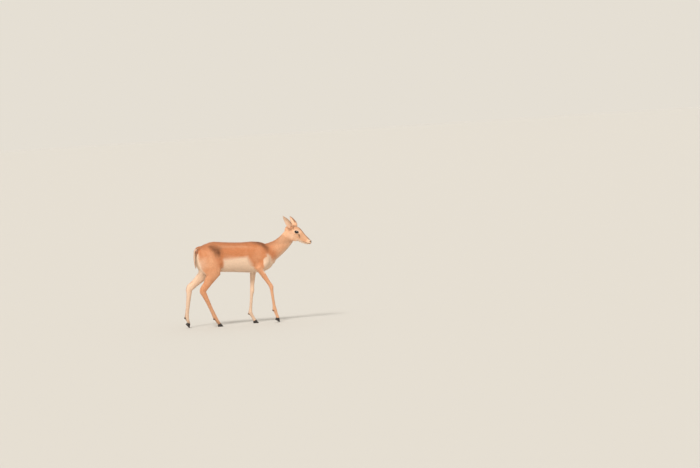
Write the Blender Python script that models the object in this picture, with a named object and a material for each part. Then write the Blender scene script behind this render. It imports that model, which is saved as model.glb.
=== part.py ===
"""A young blackbuck, hornless, walking, as a still life-size model in closed solids.

Metres, +Z up, +X towards the head, +Y to the animal's left. The origin is on the floor,
under the middle of the whole animal. The body is modelled whole from lofts, faired, and
then parted by thin cuts, so that neighbouring pieces meet face to face.
"""

import math

import bmesh
import bpy
import numpy as np
from mathutils import Matrix, Vector

# Driving dimensions of the animal, in metres
GAP = 0.0003                 # the thin cut between two pieces
WITHERS_HEIGHT = 0.601
CROUP_HEIGHT = 0.6195
CHEST_DEPTH = 0.228
TRUNK_HALF_WIDTH = 0.072
EAR_LENGTH = 0.118
EAR_HALF_WIDTH = 0.0215
EYE_RADIUS = 0.0150
EYE_OFFSET = (0.044, 0.0295, 0.0390)   # the left eye in the head's own frame
EYE_HALF_LENGTH = 0.0128     # of the opening between the lids
EYE_UPPER = 0.0092
EYE_LOWER = 0.0078
LID_THICKNESS = 0.0032
EAR_CUT = 0.013              # where an ear parts from its root
EAR_CUT_HALF = 0.024
MOUTH_GAP = 0.0009
MOUTH_DEPTH = 0.0024
HOOF_LENGTH = 0.038
CLAW_WIDTH = 0.0125
CORONET_BACK = 0.0290          # behind the toe
CORONET_UP = 0.0200
CORONET_FRONT = 0.0125
CORONET_REAR = 0.0115
CORONET_TILT = math.radians(27)
DEWCLAW_LENGTH = 0.0120
DEWCLAW_LEAN = 0.0052        # how far the tip stands behind the root
DEWCLAW_BEHIND = 0.0095      # the root behind the middle of the fetlock
DEWCLAW_APART = 0.0068       # and from the leg's middle plane
FORE_STANCE = 0.047          # half the distance between left and right fore feet
HIND_STANCE = 0.050

# Where the legs part into pieces, in metres along the leg
ELBOW_CUT = 0.060            # below the elbow
STIFLE_CUT = 0.080           # below the stifle
KNEE_CUT = 0.030             # below the knee or the hock
PLATE_FOREARM = 0.050        # half the width of each cutting plate
PLATE_THIGH = 0.056
PLATE_CANNON = 0.030
PLATE_CORONET = 0.024
PLATE_NECK = 0.13
PLATE_TAIL = 0.016

# Slits in the left half of the face, in the head's own frame
NOSTRIL = ((0.1655, 0.0062, 0.0198), (0.1640, 0.0105, 0.0214), (0.1600, 0.0138, 0.0208),
           (0.1562, 0.0150, 0.0188))
NOSTRIL_RADIUS = 0.0020
SCENT_GLAND = ((0.0675, 0.0350, 0.0300), (0.0715, 0.0335, 0.0250), (0.0745, 0.0312, 0.0200))
GLAND_RADIUS = 0.0024

# How finely the flesh is meshed
BODY_VOXEL = 0.0037
HEAD_VOXEL = 0.0021
BODY_TRIANGLES = 6500
HEAD_TRIANGLES = 3400

# Which way the head is held
HEAD_ORIGIN = Vector((0.452, -0.020, 0.638))   # the middle of the skull, behind the eyes
HEAD_PITCH = math.radians(30)                  # the muzzle points this far below level
HEAD_YAW = math.radians(-30)                   # and this far to the animal's right

LATERAL = Vector((0, 1, 0))
EYE_CORNER_LINE = Vector((0.97, 0, 0.24))     # from the back corner of an eye to the front one
SIDES = {"left": 1, "right": -1}

COLOURS = {
    "coat": ((0.60, 0.33, 0.17), 0.85, 0.0),
    "hoof_horn": ((0.035, 0.028, 0.025), 0.45, 0.0),
    "eye": ((0.012, 0.008, 0.006), 0.08, 0.0),
}


def clear_scene():
    """Remove whatever the file opened with."""
    for obj in list(bpy.data.objects):
        bpy.data.objects.remove(obj)


def material(name):
    """The Principled material of that finish, made once."""
    found = bpy.data.materials.get(name)
    if found:
        return found
    colour, roughness, metallic = COLOURS[name]
    made = bpy.data.materials.new(name)
    made.use_nodes = True
    shader = made.node_tree.nodes["Principled BSDF"]
    shader.inputs["Base Color"].default_value = (*colour, 1)
    shader.inputs["Roughness"].default_value = roughness
    shader.inputs["Metallic"].default_value = metallic
    return made


def add_object(name, mesh, finish=None):
    """A new object that shows the mesh."""
    obj = bpy.data.objects.new(name, mesh)
    bpy.context.scene.collection.objects.link(obj)
    if finish:
        mesh.materials.clear()
        mesh.materials.append(material(finish))
    return obj


def curve_through(rows, count):
    """Rows of numbers read at even steps along a smooth curve through them.

    The first three numbers of a row are a place, and the rest are sizes there.
    """
    rows = np.array(rows, float)
    reach = np.r_[0, np.cumsum(np.linalg.norm(np.diff(rows[:, :3], axis=0), axis=1))]
    slope = np.gradient(rows, reach, axis=0)
    slope[1:-1] = (rows[2:] - rows[:-2]) / (reach[2:] - reach[:-2])[:, None]
    wanted = np.linspace(0, reach[-1], count)
    piece = np.clip(np.searchsorted(reach, wanted, "right") - 1, 0, len(rows) - 2)
    span = (reach[piece + 1] - reach[piece])[:, None]
    t = (wanted[:, None] - reach[piece][:, None]) / span
    return (
        (2 * t**3 - 3 * t**2 + 1) * rows[piece]
        + (t**3 - 2 * t**2 + t) * span * slope[piece]
        + (3 * t**2 - 2 * t**3) * rows[piece + 1]
        + (t**3 - t**2) * span * slope[piece + 1]
    )


def ring_points(centre, side, normal, half_width, above, below, roundness, count):
    """One cross-section: an oval with its own reach above and below its widest line."""
    points = []
    for step in range(count):
        angle = 2 * math.pi * step / count
        across, up = math.cos(angle), math.sin(angle)
        reach = above if up > 0 else below
        power = 2 / roundness
        across = math.copysign(abs(across) ** power, across)
        up = math.copysign(abs(up) ** power, up)
        points.append(centre + side * (half_width * across) + normal * (reach * up))
    return points


def loft(name, rows, count=20, ring=24, roundness=2.0, side=LATERAL, round_ends=True):
    """A closed tube through rows of (x, y, z, half width, reach in front or above, reach behind or below).

    side is the direction in which the half width is measured.
    """
    read = curve_through(rows, count)
    places = [Vector(row[:3]) for row in read]
    bm = bmesh.new()
    rings = []
    for index, row in enumerate(read):
        ahead = places[min(index + 1, count - 1)] - places[max(index - 1, 0)]
        tangent = ahead.normalized()
        across = (side - tangent * side.dot(tangent)).normalized()
        normal = tangent.cross(across)
        shapes = [(0.0, 1.0)]
        if round_ends and index in (0, count - 1):
            outward = -1 if index == 0 else 1
            shapes = [(outward * math.sin(a), math.cos(a)) for a in (1.25, 0.9, 0.5, 0.0)]
            if index:
                shapes.reverse()
        depth = min(row[3], (row[4] + row[5]) / 2)
        for along, shrink in shapes:
            centre = places[index] + tangent * (along * depth)
            sizes = [value * shrink for value in row[3:6]]
            points = ring_points(centre, across, normal, *sizes, roundness, ring)
            rings.append([bm.verts.new(point) for point in points])
    for low, high in zip(rings, rings[1:]):
        for step in range(ring):
            after = (step + 1) % ring
            bm.faces.new((low[step], low[after], high[after], high[step]))
    bm.faces.new(list(reversed(rings[0])))
    bm.faces.new(rings[-1])
    bmesh.ops.recalc_face_normals(bm, faces=bm.faces)
    mesh = bpy.data.meshes.new(name)
    bm.to_mesh(mesh)
    bm.free()
    return mesh


def ball(name, centre, radii, turn=Matrix.Identity(3), cuts=24):
    """An ellipsoid with these three radii, turned about its centre."""
    bm = bmesh.new()
    bmesh.ops.create_uvsphere(bm, u_segments=cuts, v_segments=cuts // 2, radius=1)
    scale = Matrix.Diagonal((*radii, 1))
    bm.transform(Matrix.Translation(centre) @ turn.to_4x4() @ scale)
    mesh = bpy.data.meshes.new(name)
    bm.to_mesh(mesh)
    bm.free()
    return mesh


def mirrored(mesh):
    """The same shape on the other side of the animal."""
    bm = bmesh.new()
    bm.from_mesh(mesh)
    bm.transform(Matrix.Diagonal((1, -1, 1, 1)))
    bmesh.ops.reverse_faces(bm, faces=bm.faces)
    made = bpy.data.meshes.new(mesh.name + "_other")
    bm.to_mesh(made)
    bm.free()
    return made


def joined(name, meshes):
    """Several closed meshes as the loose parts of one."""
    bm = bmesh.new()
    for mesh in meshes:
        bm.from_mesh(mesh)
    made = bpy.data.meshes.new(name)
    bm.to_mesh(made)
    bm.free()
    return made


def applied(obj):
    """The object's mesh as its modifiers leave it, with the modifiers then removed."""
    graph = bpy.context.evaluated_depsgraph_get()
    graph.update()
    mesh = bpy.data.meshes.new_from_object(obj.evaluated_get(graph))
    obj.modifiers.clear()
    obj.data = mesh
    return obj


def welded_skin(name, meshes, voxel):
    """One closed skin round overlapping meshes."""
    obj = add_object(name, joined(name, meshes))
    remesh = obj.modifiers.new("skin", "REMESH")
    remesh.mode = "VOXEL"
    remesh.voxel_size = voxel
    return applied(obj)


class Surface:
    """A mesh's points with their neighbours, for smoothing it many times over."""

    def __init__(self, obj):
        self.mesh = obj.data
        points = np.empty(len(self.mesh.vertices) * 3)
        self.mesh.vertices.foreach_get("co", points)
        self.points = points.reshape(-1, 3)
        edges = np.empty(len(self.mesh.edges) * 2, int)
        self.mesh.edges.foreach_get("vertices", edges)
        self.first, self.second = edges.reshape(-1, 2).T
        count = len(self.points)
        self.degree = np.bincount(self.first, minlength=count) + np.bincount(self.second, minlength=count)
        corners = np.empty(len(self.mesh.polygons) * 4, int)
        self.mesh.polygons.foreach_get("vertices", corners)
        self.quads = corners.reshape(-1, 4)

    def pull(self):
        """From each point to the middle of its neighbours."""
        total = np.zeros_like(self.points)
        for axis in range(3):
            values = self.points[:, axis]
            total[:, axis] += np.bincount(self.first, values[self.second], len(values))
            total[:, axis] += np.bincount(self.second, values[self.first], len(values))
        return total / self.degree[:, None] - self.points

    def normals(self):
        """The outward normal at each point."""
        corner = self.points[self.quads]
        across = np.cross(corner[:, 2] - corner[:, 0], corner[:, 3] - corner[:, 1])
        total = np.zeros_like(self.points)
        for axis in range(3):
            for place in range(4):
                total[:, axis] += np.bincount(self.quads[:, place], across[:, axis], len(total))
        return total / np.maximum(np.linalg.norm(total, axis=1), 1e-12)[:, None]

    def finish(self):
        """Put the points back into the mesh."""
        self.mesh.vertices.foreach_set("co", self.points.ravel())
        self.mesh.update()


def fair(obj, rounds, weight=None, puff=-0.53):
    """Smooth the mesh without shrinking it. weight maps each point to 0, left alone, or up to 1.

    The closer puff is to -0.5, the wider the folds that it smooths.
    """
    surface = Surface(obj)
    share = np.ones(len(surface.points)) if weight is None else weight(surface.points)
    for step in range(2 * rounds):
        factor = puff if step % 2 else 0.5
        surface.points = surface.points + factor * share[:, None] * surface.pull()
    surface.finish()


def fill_folds(obj, rounds, weight):
    """Raise the hollows where forms meet and leave what stands out, as skin spans two muscles."""
    surface = Surface(obj)
    share = weight(surface.points)[:, None]
    for _ in range(rounds):
        pull, normal = surface.pull(), surface.normals()
        out = (pull * normal).sum(axis=1, keepdims=True)
        slide = pull - out * normal
        surface.points = surface.points + 0.5 * share * (slide + np.maximum(out, 0) * normal)
    surface.finish()


def thinned(obj, triangles):
    """Bring the mesh down to about this many triangles."""
    now = sum(len(face.vertices) - 2 for face in obj.data.polygons)
    modifier = obj.modifiers.new("thin", "DECIMATE")
    modifier.ratio = min(1.0, triangles / now)
    modifier.use_collapse_triangulate = True
    return applied(obj)


def combined(obj, other_mesh, operation):
    """The object's mesh after a Boolean with another closed mesh."""
    other = add_object("tool", other_mesh)
    modifier = obj.modifiers.new("combine", "BOOLEAN")
    modifier.operation = operation
    modifier.solver = "EXACT"
    modifier.object = other
    applied(obj)
    bpy.data.objects.remove(other)
    return obj


def plate(centre, normal, half_size, thickness=GAP):
    """A thin square plate, for parting two pieces."""
    bm = bmesh.new()
    bmesh.ops.create_cube(bm, size=1)
    turn = Vector(normal).to_track_quat("Z", "Y").to_matrix().to_4x4()
    scale = Matrix.Diagonal((2 * half_size, 2 * half_size, thickness, 1))
    bm.transform(Matrix.Translation(centre) @ turn @ scale)
    mesh = bpy.data.meshes.new("plate")
    bm.to_mesh(mesh)
    bm.free()
    return mesh


def loose_pieces(obj):
    """Every separate closed surface of the object, as (centre, volume, mesh)."""
    bm = bmesh.new()
    bm.from_mesh(obj.data)
    bm.verts.ensure_lookup_table()
    seen = set()
    found = []
    for start in bm.verts:
        if start.index in seen:
            continue
        group, front = set(), [start]
        while front:
            vert = front.pop()
            if vert.index in group:
                continue
            group.add(vert.index)
            front.extend(edge.other_vert(vert) for edge in vert.link_edges)
        seen |= group
        piece = bm.copy()
        piece.verts.ensure_lookup_table()
        spare = [vert for vert in piece.verts if vert.index not in group]
        bmesh.ops.delete(piece, geom=spare, context="VERTS")
        centre = sum((vert.co for vert in piece.verts), Vector()) / len(piece.verts)
        mesh = bpy.data.meshes.new("piece")
        volume = piece.calc_volume(signed=True)
        piece.to_mesh(mesh)
        piece.free()
        found.append((centre, volume, mesh))
    bm.free()
    return found


def head_matrix():
    """From the head's own frame, +X to the muzzle and +Z to the brow, to the animal's."""
    turn = Matrix.Rotation(HEAD_YAW, 4, "Z") @ Matrix.Rotation(HEAD_PITCH, 4, "Y")
    return Matrix.Translation(HEAD_ORIGIN) @ turn


def in_head(x, y, z):
    """A place given in the head's own frame."""
    return head_matrix() @ Vector((x, y, z))


def trunk():
    """The barrel from the buttocks to the breast."""
    profile = [
        # x, top, bottom, half width
        (-0.221, 0.591, 0.452, 0.030),
        (-0.212, 0.602, 0.445, 0.048),
        (-0.190, 0.612, 0.425, 0.058),
        (-0.140, CROUP_HEIGHT, 0.406, 0.061),
        (-0.075, 0.613, 0.394, 0.062),
        (0.000, 0.605, 0.388, 0.068),
        (0.080, 0.601, 0.380, TRUNK_HALF_WIDTH),
        (0.150, WITHERS_HEIGHT, WITHERS_HEIGHT - CHEST_DEPTH, 0.068),
        (0.205, 0.595, 0.371, 0.059),
        (0.250, 0.578, 0.377, 0.050),
        (0.285, 0.552, 0.395, 0.040),
        (0.308, 0.520, 0.425, 0.026),
    ]
    widest = 0.46               # of the depth, up from the belly
    rows = []
    for x, top, bottom, half_width in profile:
        middle = bottom + widest * (top - bottom)
        rows.append((x, 0, middle, half_width, top - middle, middle - bottom))
    return loft("trunk", rows, count=34, ring=40, roundness=2.15)


def neck():
    """From between the shoulders up into the skull, bending to the right."""
    rows = [
        (0.205, 0.000, 0.490, 0.050, 0.088, 0.090),
        (0.262, 0.000, 0.503, 0.047, 0.076, 0.086),
        (0.312, -0.002, 0.525, 0.040, 0.064, 0.072),
        (0.360, -0.005, 0.553, 0.036, 0.054, 0.063),
        (0.403, -0.010, 0.590, 0.034, 0.047, 0.058),
        (0.434, -0.015, 0.628, 0.033, 0.040, 0.055),
        (0.450, -0.020, 0.650, 0.030, 0.032, 0.046),
    ]
    return loft("neck", rows, count=24, ring=32)


def shoulder_masses():
    """Shoulder blade and upper arm over the ribs, on the animal's left side."""
    blade = [
        (0.168, 0.029, 0.568, 0.014, 0.026, 0.026),
        (0.192, 0.041, 0.535, 0.020, 0.042, 0.046),
        (0.224, 0.046, 0.488, 0.022, 0.046, 0.050),
        (0.244, 0.045, 0.450, 0.023, 0.038, 0.044),
    ]
    arm = [
        (0.248, 0.045, 0.455, 0.023, 0.034, 0.030),
        (0.225, 0.048, 0.428, 0.023, 0.032, 0.032),
        (0.194, 0.050, 0.404, 0.021, 0.030, 0.028),
    ]
    return [loft("blade", blade), loft("arm", arm, count=12)]


FORE_SIZES = [
    # share of the way down, half width, reach in front, reach behind
    ("elbow", 0.00, 0.0215, 0.0260, 0.0260),
    ("elbow", 0.35, 0.0180, 0.0200, 0.0210),
    ("elbow", 0.76, 0.0142, 0.0145, 0.0150),
    ("elbow", 0.94, 0.0152, 0.0166, 0.0152),
    ("knee", 0.05, 0.0147, 0.0158, 0.0146),
    ("knee", 0.17, 0.0112, 0.0114, 0.0128),
    ("knee", 0.50, 0.0094, 0.0098, 0.0113),
    ("knee", 0.84, 0.0100, 0.0104, 0.0118),
    ("fetlock", 0.00, 0.0130, 0.0145, 0.0156),
    ("fetlock", 0.45, 0.0108, 0.0116, 0.0112),
    ("coronet", 0.00, 0.0125, CORONET_FRONT, CORONET_REAR),
]

HIND_SIZES = [
    ("stifle", 0.00, 0.0250, 0.0480, 0.0560),
    ("stifle", 0.35, 0.0210, 0.0360, 0.0400),
    ("stifle", 0.72, 0.0160, 0.0255, 0.0290),
    ("hock", 0.00, 0.0158, 0.0230, 0.0270),
    ("hock", 0.16, 0.0138, 0.0182, 0.0215),
    ("hock", 0.50, 0.0103, 0.0136, 0.0158),
    ("hock", 0.84, 0.0107, 0.0126, 0.0146),
    ("fetlock", 0.00, 0.0134, 0.0156, 0.0168),
    ("fetlock", 0.45, 0.0112, 0.0124, 0.0120),
    ("coronet", 0.00, 0.0125, CORONET_FRONT, CORONET_REAR),
]


class Foot:
    """Where one hoof stands: its toe on the floor, tipped down at the toe by some angle."""

    def __init__(self, toe_x, side, stance, tipped):
        self.toe = Vector((toe_x, side * stance, 0))
        self.turn = Matrix.Rotation(math.radians(tipped), 4, "Y")

    def place(self, back, up, across=0.0):
        """A place this far behind and above the toe, on the foot's own lines."""
        return self.toe + self.turn @ Vector((-back, across, up))

    def direction(self, back, up):
        """A direction on the foot's own lines."""
        return (self.turn @ Vector((-back, 0, up))).normalized()


def coronet_plane(foot):
    """Centre and upward normal of the plane between the skin and the hoof."""
    centre = foot.place(CORONET_BACK, CORONET_UP)
    return centre, foot.direction(math.sin(CORONET_TILT), math.cos(CORONET_TILT))


def leg_rows(joints, sizes, foot):
    """Rows for a loft down one leg, from its joints and the sizes between them."""
    centre, up = coronet_plane(foot)
    places = {**joints, "coronet": centre, "end": centre - up * 0.012}
    order = list(places)
    rows = []
    for start, share, half_width, front, behind in sizes:
        after = order[order.index(start) + 1]
        place = Vector(places[start]).lerp(Vector(places[after]), share)
        rows.append((*place, half_width, front, behind))
    rows.append((*places["end"], 0.0120, CORONET_FRONT, CORONET_REAR))
    return rows


def dewclaws(joints, foot):
    """The two small horny claws behind the fetlock, each a short blunt cone pointing down."""
    *_, above, fetlock = joints.values()
    leg_down = (fetlock - above).normalized()
    back = Vector((leg_down.z, 0, -leg_down.x)).normalized()
    if back.dot(foot.direction(1, 0)) < 0:
        back.negate()
    made = []
    for across in SIDES.values():
        root = fetlock + back * DEWCLAW_BEHIND + LATERAL * (DEWCLAW_APART * across) + leg_down * 0.002
        tip = root + leg_down * DEWCLAW_LENGTH + back * DEWCLAW_LEAN
        middle = root.lerp(tip, 0.55) + back * 0.0012
        rows = [
            (*root, 0.0050, 0.0058, 0.0058),
            (*middle, 0.0046, 0.0048, 0.0048),
            (*tip, 0.0026, 0.0028, 0.0028),
        ]
        made.append(loft("dewclaw", rows, count=4, ring=8, round_ends=False))
    return made


LEGS = {
    # each joint as x, distance from the middle, z; then the toe's x and how far it is tipped
    "foreleg_left": dict(
        kind="fore",
        joints=[("elbow", 0.172, 0.051, 0.405), ("knee", 0.153, 0.049, 0.238),
                ("fetlock", 0.131, 0.047, 0.078)],
        toe=0.188, tipped=0,
    ),
    "foreleg_right": dict(
        kind="fore",
        joints=[("elbow", 0.192, 0.051, 0.408), ("knee", 0.277, 0.049, 0.264),
                ("fetlock", 0.293, 0.047, 0.099)],
        toe=0.324, tipped=34,
    ),
    "hindleg_left": dict(
        kind="hind",
        joints=[("stifle", -0.164, 0.053, 0.408), ("hock", -0.309, 0.051, 0.284),
                ("fetlock", -0.343, 0.050, 0.080)],
        toe=-0.329, tipped=48,
    ),
    "hindleg_right": dict(
        kind="hind",
        joints=[("stifle", -0.136, 0.053, 0.404), ("hock", -0.231, 0.051, 0.266),
                ("fetlock", -0.154, 0.050, 0.070)],
        toe=-0.097, tipped=0,
    ),
}


def leg_parts(name):
    """A leg's foot, joints and lofts."""
    plan = LEGS[name]
    side = SIDES[name.split("_")[1]]
    fore = plan["kind"] == "fore"
    stance = FORE_STANCE if fore else HIND_STANCE
    foot = Foot(plan["toe"], side, stance, plan["tipped"])
    joints = {joint: Vector((x, side * y, z)) for joint, x, y, z in plan["joints"]}
    rows = leg_rows(joints, FORE_SIZES if fore else HIND_SIZES, foot)
    meshes = [loft(name, rows, count=44, ring=20)]
    if not fore:
        meshes += hock_point(joints)
    return foot, joints, meshes, dewclaws(joints, foot)


def hock_point(joints):
    """The heel bone that stands out behind the hock, with the tendon up from it."""
    hock = joints["hock"]
    up = (joints["stifle"] - hock).normalized()
    back = Vector((-up.z, 0, up.x)).normalized()
    if back.x > 0:
        back.negate()
    tip = hock + back * 0.0225 + up * 0.006
    along = tip.lerp(joints["stifle"], 0.32) + back * 0.002
    rows = [(*tip, 0.0080, 0.010, 0.009), (*along, 0.0075, 0.013, 0.010)]
    return [loft("heel_bone", rows, count=8, ring=14)]


def thigh(side, stifle):
    """Rump and thigh down to the stifle."""
    hip = [
        (-0.158, 0.032 * side, 0.574, 0.022, 0.056, 0.050),
        (-0.158, 0.043 * side, 0.545, 0.026, 0.070, 0.078),
        (-0.158, 0.048 * side, 0.500, 0.028, 0.080, 0.096),
    ]
    lower = Vector((-0.150, 0.051 * side, 0.452)).lerp(stifle, 0.15)
    hip.append((*lower, 0.028, 0.070, 0.086))
    hip.append((*stifle, 0.025, 0.050, 0.060))
    return loft("thigh", hip, count=20, ring=28)


def skull():
    """The head's lofts, in its own frame."""
    profile = [
        # along, top, bottom, half width, height of the widest line
        (-0.034, 0.046, -0.012, 0.022, 0.018),
        (-0.020, 0.061, -0.030, 0.031, 0.020),
        (0.005, 0.067, -0.041, 0.037, 0.026),
        (0.032, 0.070, -0.043, 0.041, 0.034),
        (0.060, 0.060, -0.036, 0.035, 0.028),
        (0.090, 0.047, -0.024, 0.0250, 0.016),
        (0.120, 0.038, -0.015, 0.0200, 0.010),
        (0.143, 0.032, -0.010, 0.0185, 0.008),
        (0.155, 0.026, -0.004, 0.0160, 0.009),
    ]
    rows = [(x, 0, mid, wide, top - mid, mid - bottom) for x, top, bottom, wide, mid in profile]
    parts = [loft("skull", rows, count=34, ring=36, roundness=2.1)]
    for side in SIDES.values():
        cheek = [
            (0.006, 0.021 * side, 0.000, 0.012, 0.024, 0.032),
            (0.034, 0.024 * side, 0.001, 0.012, 0.022, 0.038),
            (0.064, 0.017 * side, -0.002, 0.010, 0.015, 0.029),
        ]
        parts.append(loft("cheek", cheek, count=10, ring=20))
        brow = eye_centre(side) + Vector((-0.002, -0.004 * side, 0.002))
        parts.append(ball("orbit", brow, (0.0215, 0.0135, 0.0195)))
        wing = Vector((0.156, 0.0085 * side, 0.017))
        parts.append(ball("nostril_wing", wing, (0.010, 0.0075, 0.010)))
        root = [
            (0.000, 0.022 * side, 0.040, 0.012, 0.012, 0.012),
            (*ear_place(side, -0.002), 0.0115, 0.0115, 0.0115),
        ]
        parts.append(loft("ear_root", root, count=6, ring=16, side=Vector((1, 0, 0))))
    lip = [
        (0.092, 0, -0.012, 0.014, 0.012, 0.010),
        (0.125, 0, -0.008, 0.0125, 0.010, 0.0085),
        (0.148, 0, -0.002, 0.0105, 0.008, 0.008),
    ]
    parts.append(loft("lower_lip", lip, count=10, ring=20))
    matrix = head_matrix()
    for mesh in parts:
        mesh.transform(matrix)
    return parts


def eye_centre(side):
    """The middle of an eyeball, in the head's own frame."""
    x, y, z = EYE_OFFSET
    return Vector((x, y * side, z))


EAR_TURN = {
    # the way each ear's length points, and the way its opening faces, in the head's frame
    "right": (Vector((-0.77, -0.49, 0.44)), Vector((0.30, -0.80, -0.30))),
    "left": (Vector((-0.72, 0.60, 0.34)), Vector((0.62, 0.70, -0.10))),
}


def ear_place(side, along):
    """A place on an ear's middle line, in the head's own frame."""
    length, _ = EAR_TURN["left" if side > 0 else "right"]
    return Vector((0.000, 0.0255 * side, 0.053)) + length.normalized() * along


def ear(side_name):
    """A leaf rolled into a tube at its root and open as a cup above, a few millimetres thick."""
    side = SIDES[side_name]
    length, facing = EAR_TURN[side_name]
    up = length.normalized()
    face = (facing - up * facing.dot(up)).normalized()
    across = up.cross(face)
    along_count, across_count = 11, 9
    bm = bmesh.new()
    grids = {}
    for wall, sign in (("outer", 1), ("inner", -1)):
        grid = []
        for i in range(along_count):
            share = i / (along_count - 1)
            width = EAR_HALF_WIDTH * math.sin(math.pi * min(1, 0.13 + 0.89 * share)) ** 0.70
            width = max(width, 0.0022)
            roll = math.radians(165 - 105 * min(1, share * 1.7))   # half the angle it wraps
            radius = width / max(math.sin(min(roll, math.pi / 2)), 0.3) * 0.92
            thick = 0.0034 * (1 - share) + 0.0018
            line = []
            for j in range(across_count):
                share_across = 2 * j / (across_count - 1) - 1
                turn = roll * share_across
                edge = 1 - 0.35 * share_across**4
                reach = radius + sign * thick / 2 * edge
                middle = ear_place(side, EAR_LENGTH * share) + face * (radius * 0.75)
                place = middle - face * (reach * math.cos(turn)) + across * (reach * math.sin(turn))
                line.append(bm.verts.new(head_matrix() @ place))
            grid.append(line)
        grids[wall] = grid
    outer, inner = grids["outer"], grids["inner"]
    for i in range(along_count - 1):
        for j in range(across_count - 1):
            bm.faces.new((outer[i][j], outer[i][j + 1], outer[i + 1][j + 1], outer[i + 1][j]))
            bm.faces.new((inner[i][j], inner[i + 1][j], inner[i + 1][j + 1], inner[i][j + 1]))
        for j in (0, across_count - 1):
            bm.faces.new((outer[i][j], outer[i + 1][j], inner[i + 1][j], inner[i][j]))
    for i in (0, along_count - 1):
        for j in range(across_count - 1):
            bm.faces.new((outer[i][j], outer[i][j + 1], inner[i][j + 1], inner[i][j]))
    bmesh.ops.recalc_face_normals(bm, faces=bm.faces)
    mesh = bpy.data.meshes.new("ear")
    bm.to_mesh(mesh)
    bm.free()
    return mesh


def hamstring(side, joints):
    """The back of the thigh, from beside the tail down into the gaskin."""
    down = (joints["hock"] - joints["stifle"]).normalized()
    back = Vector((down.z, 0, -down.x))
    if back.x > 0:
        back.negate()
    low = joints["stifle"].lerp(joints["hock"], 0.30) + back * 0.018
    end = joints["stifle"].lerp(joints["hock"], 0.60) + back * 0.013
    rows = [
        (-0.212, 0.036 * side, 0.556, 0.020, 0.026, 0.026),
        (-0.227, 0.044 * side, 0.522, 0.022, 0.034, 0.034),
        (-0.223, 0.048 * side, 0.472, 0.023, 0.036, 0.036),
        (-0.207, 0.050 * side, 0.427, 0.022, 0.034, 0.034),
        (*low, 0.016, 0.019, 0.019),
        (*end, 0.009, 0.011, 0.011),
    ]
    return loft("hamstring", rows, count=22, ring=20)


def seat():
    """The flesh between the thighs, under the tail."""
    rows = [
        (-0.208, 0, 0.560, 0.034, 0.030, 0.028),
        (-0.209, 0, 0.520, 0.038, 0.034, 0.030),
        (-0.202, 0, 0.470, 0.040, 0.036, 0.034),
        (-0.184, 0, 0.430, 0.040, 0.036, 0.038),
    ]
    return loft("seat", rows, count=12, ring=20)


def tail():
    """The hanging tail, with its root inside the rump."""
    rows = [
        (-0.205, 0, 0.582, 0.0115, 0.0100, 0.0100),
        (-0.232, 0, 0.583, 0.0115, 0.0095, 0.0095),
        (-0.251, 0, 0.575, 0.0120, 0.0085, 0.0085),
        (-0.264, 0, 0.554, 0.0130, 0.0078, 0.0078),
        (-0.269, 0, 0.520, 0.0140, 0.0072, 0.0072),
        (-0.269, 0, 0.478, 0.0130, 0.0066, 0.0066),
        (-0.265, 0, 0.442, 0.0080, 0.0050, 0.0050),
    ]
    return loft("tail", rows, count=14, ring=12)


def claw(foot, side, name):
    """One of a foot's two hooves, from the coronet down to a flat sole."""
    half_width = CLAW_WIDTH / 2
    levels = [
        # how far down from coronet to sole, gap to the other claw, growth in width, in length
        (0.00, 0.0006, 0.96, 0.97),
        (0.25, 0.0011, 1.04, 1.02),
        (0.93, 0.0019, 1.04, 1.00),
        (1.00, 0.0022, 0.98, 0.97),
    ]
    ring = 12
    top = Vector((CORONET_BACK, CORONET_UP))
    tilt = Vector((math.cos(CORONET_TILT), math.sin(CORONET_TILT)))
    bm = bmesh.new()
    rings = []
    for down, apart, wider, longer in levels:
        line = []
        for step in range(ring):
            angle = 2 * math.pi * step / ring
            ahead, out = math.cos(angle), math.sin(angle)
            pinch = 1 - (0.45 if out > 0 else 0.12) * max(0, ahead) ** 3
            across = side * (apart + half_width + half_width * wider * out * pinch)
            reach = CORONET_FRONT if ahead > 0 else CORONET_REAR
            high = Vector((top.x - tilt.x * reach * ahead, top.y + tilt.y * reach * ahead))
            high.y -= GAP
            low = Vector((HOOF_LENGTH * (0.5 - 0.5 * ahead * longer), 0.0))
            place = high.lerp(low, down)
            line.append(bm.verts.new(foot.place(place.x, place.y, across)))
        rings.append(line)
    for low, high in zip(rings, rings[1:]):
        for step in range(ring):
            after = (step + 1) % ring
            bm.faces.new((low[step], low[after], high[after], high[step]))
    bm.faces.new(rings[0])
    bm.faces.new(rings[-1])
    flatten_on_floor(bm)
    bmesh.ops.triangulate(bm, faces=bm.faces)
    bmesh.ops.recalc_face_normals(bm, faces=bm.faces)
    mesh = bpy.data.meshes.new(name)
    bm.to_mesh(mesh)
    bm.free()
    return add_object(name, mesh, "hoof_horn")


def flatten_on_floor(bm):
    """Cut away what is below the floor and close the cut."""
    everything = bm.verts[:] + bm.edges[:] + bm.faces[:]
    cut = bmesh.ops.bisect_plane(
        bm, geom=everything, plane_co=(0, 0, 0), plane_no=(0, 0, -1), clear_outer=True
    )
    rim = [part for part in cut["geom_cut"] if isinstance(part, bmesh.types.BMEdge)]
    if any(edge.is_boundary for edge in rim):
        bmesh.ops.holes_fill(bm, edges=rim)


def parted(obj, plates, seeds):
    """Cut the object with thin plates and name every piece after the seed it is nearest to.

    A piece whose nearest seed has an empty name is dropped.
    """
    combined(obj, joined("plates", plates), "DIFFERENCE")
    names = {}
    for centre, volume, mesh in loose_pieces(obj):
        name = min(seeds, key=lambda seed: (Vector(seed[1]) - centre).length)[0]
        if name and volume > names.get(name, (0, None))[0]:
            names[name] = (volume, mesh)
    bpy.data.objects.remove(obj)
    return {name: mesh for name, (_, mesh) in names.items()}


def eye_axis(side):
    """The way an eye looks, in the head's own frame."""
    return Vector((0.34, 0.93 * side, 0.10)).normalized()


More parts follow.
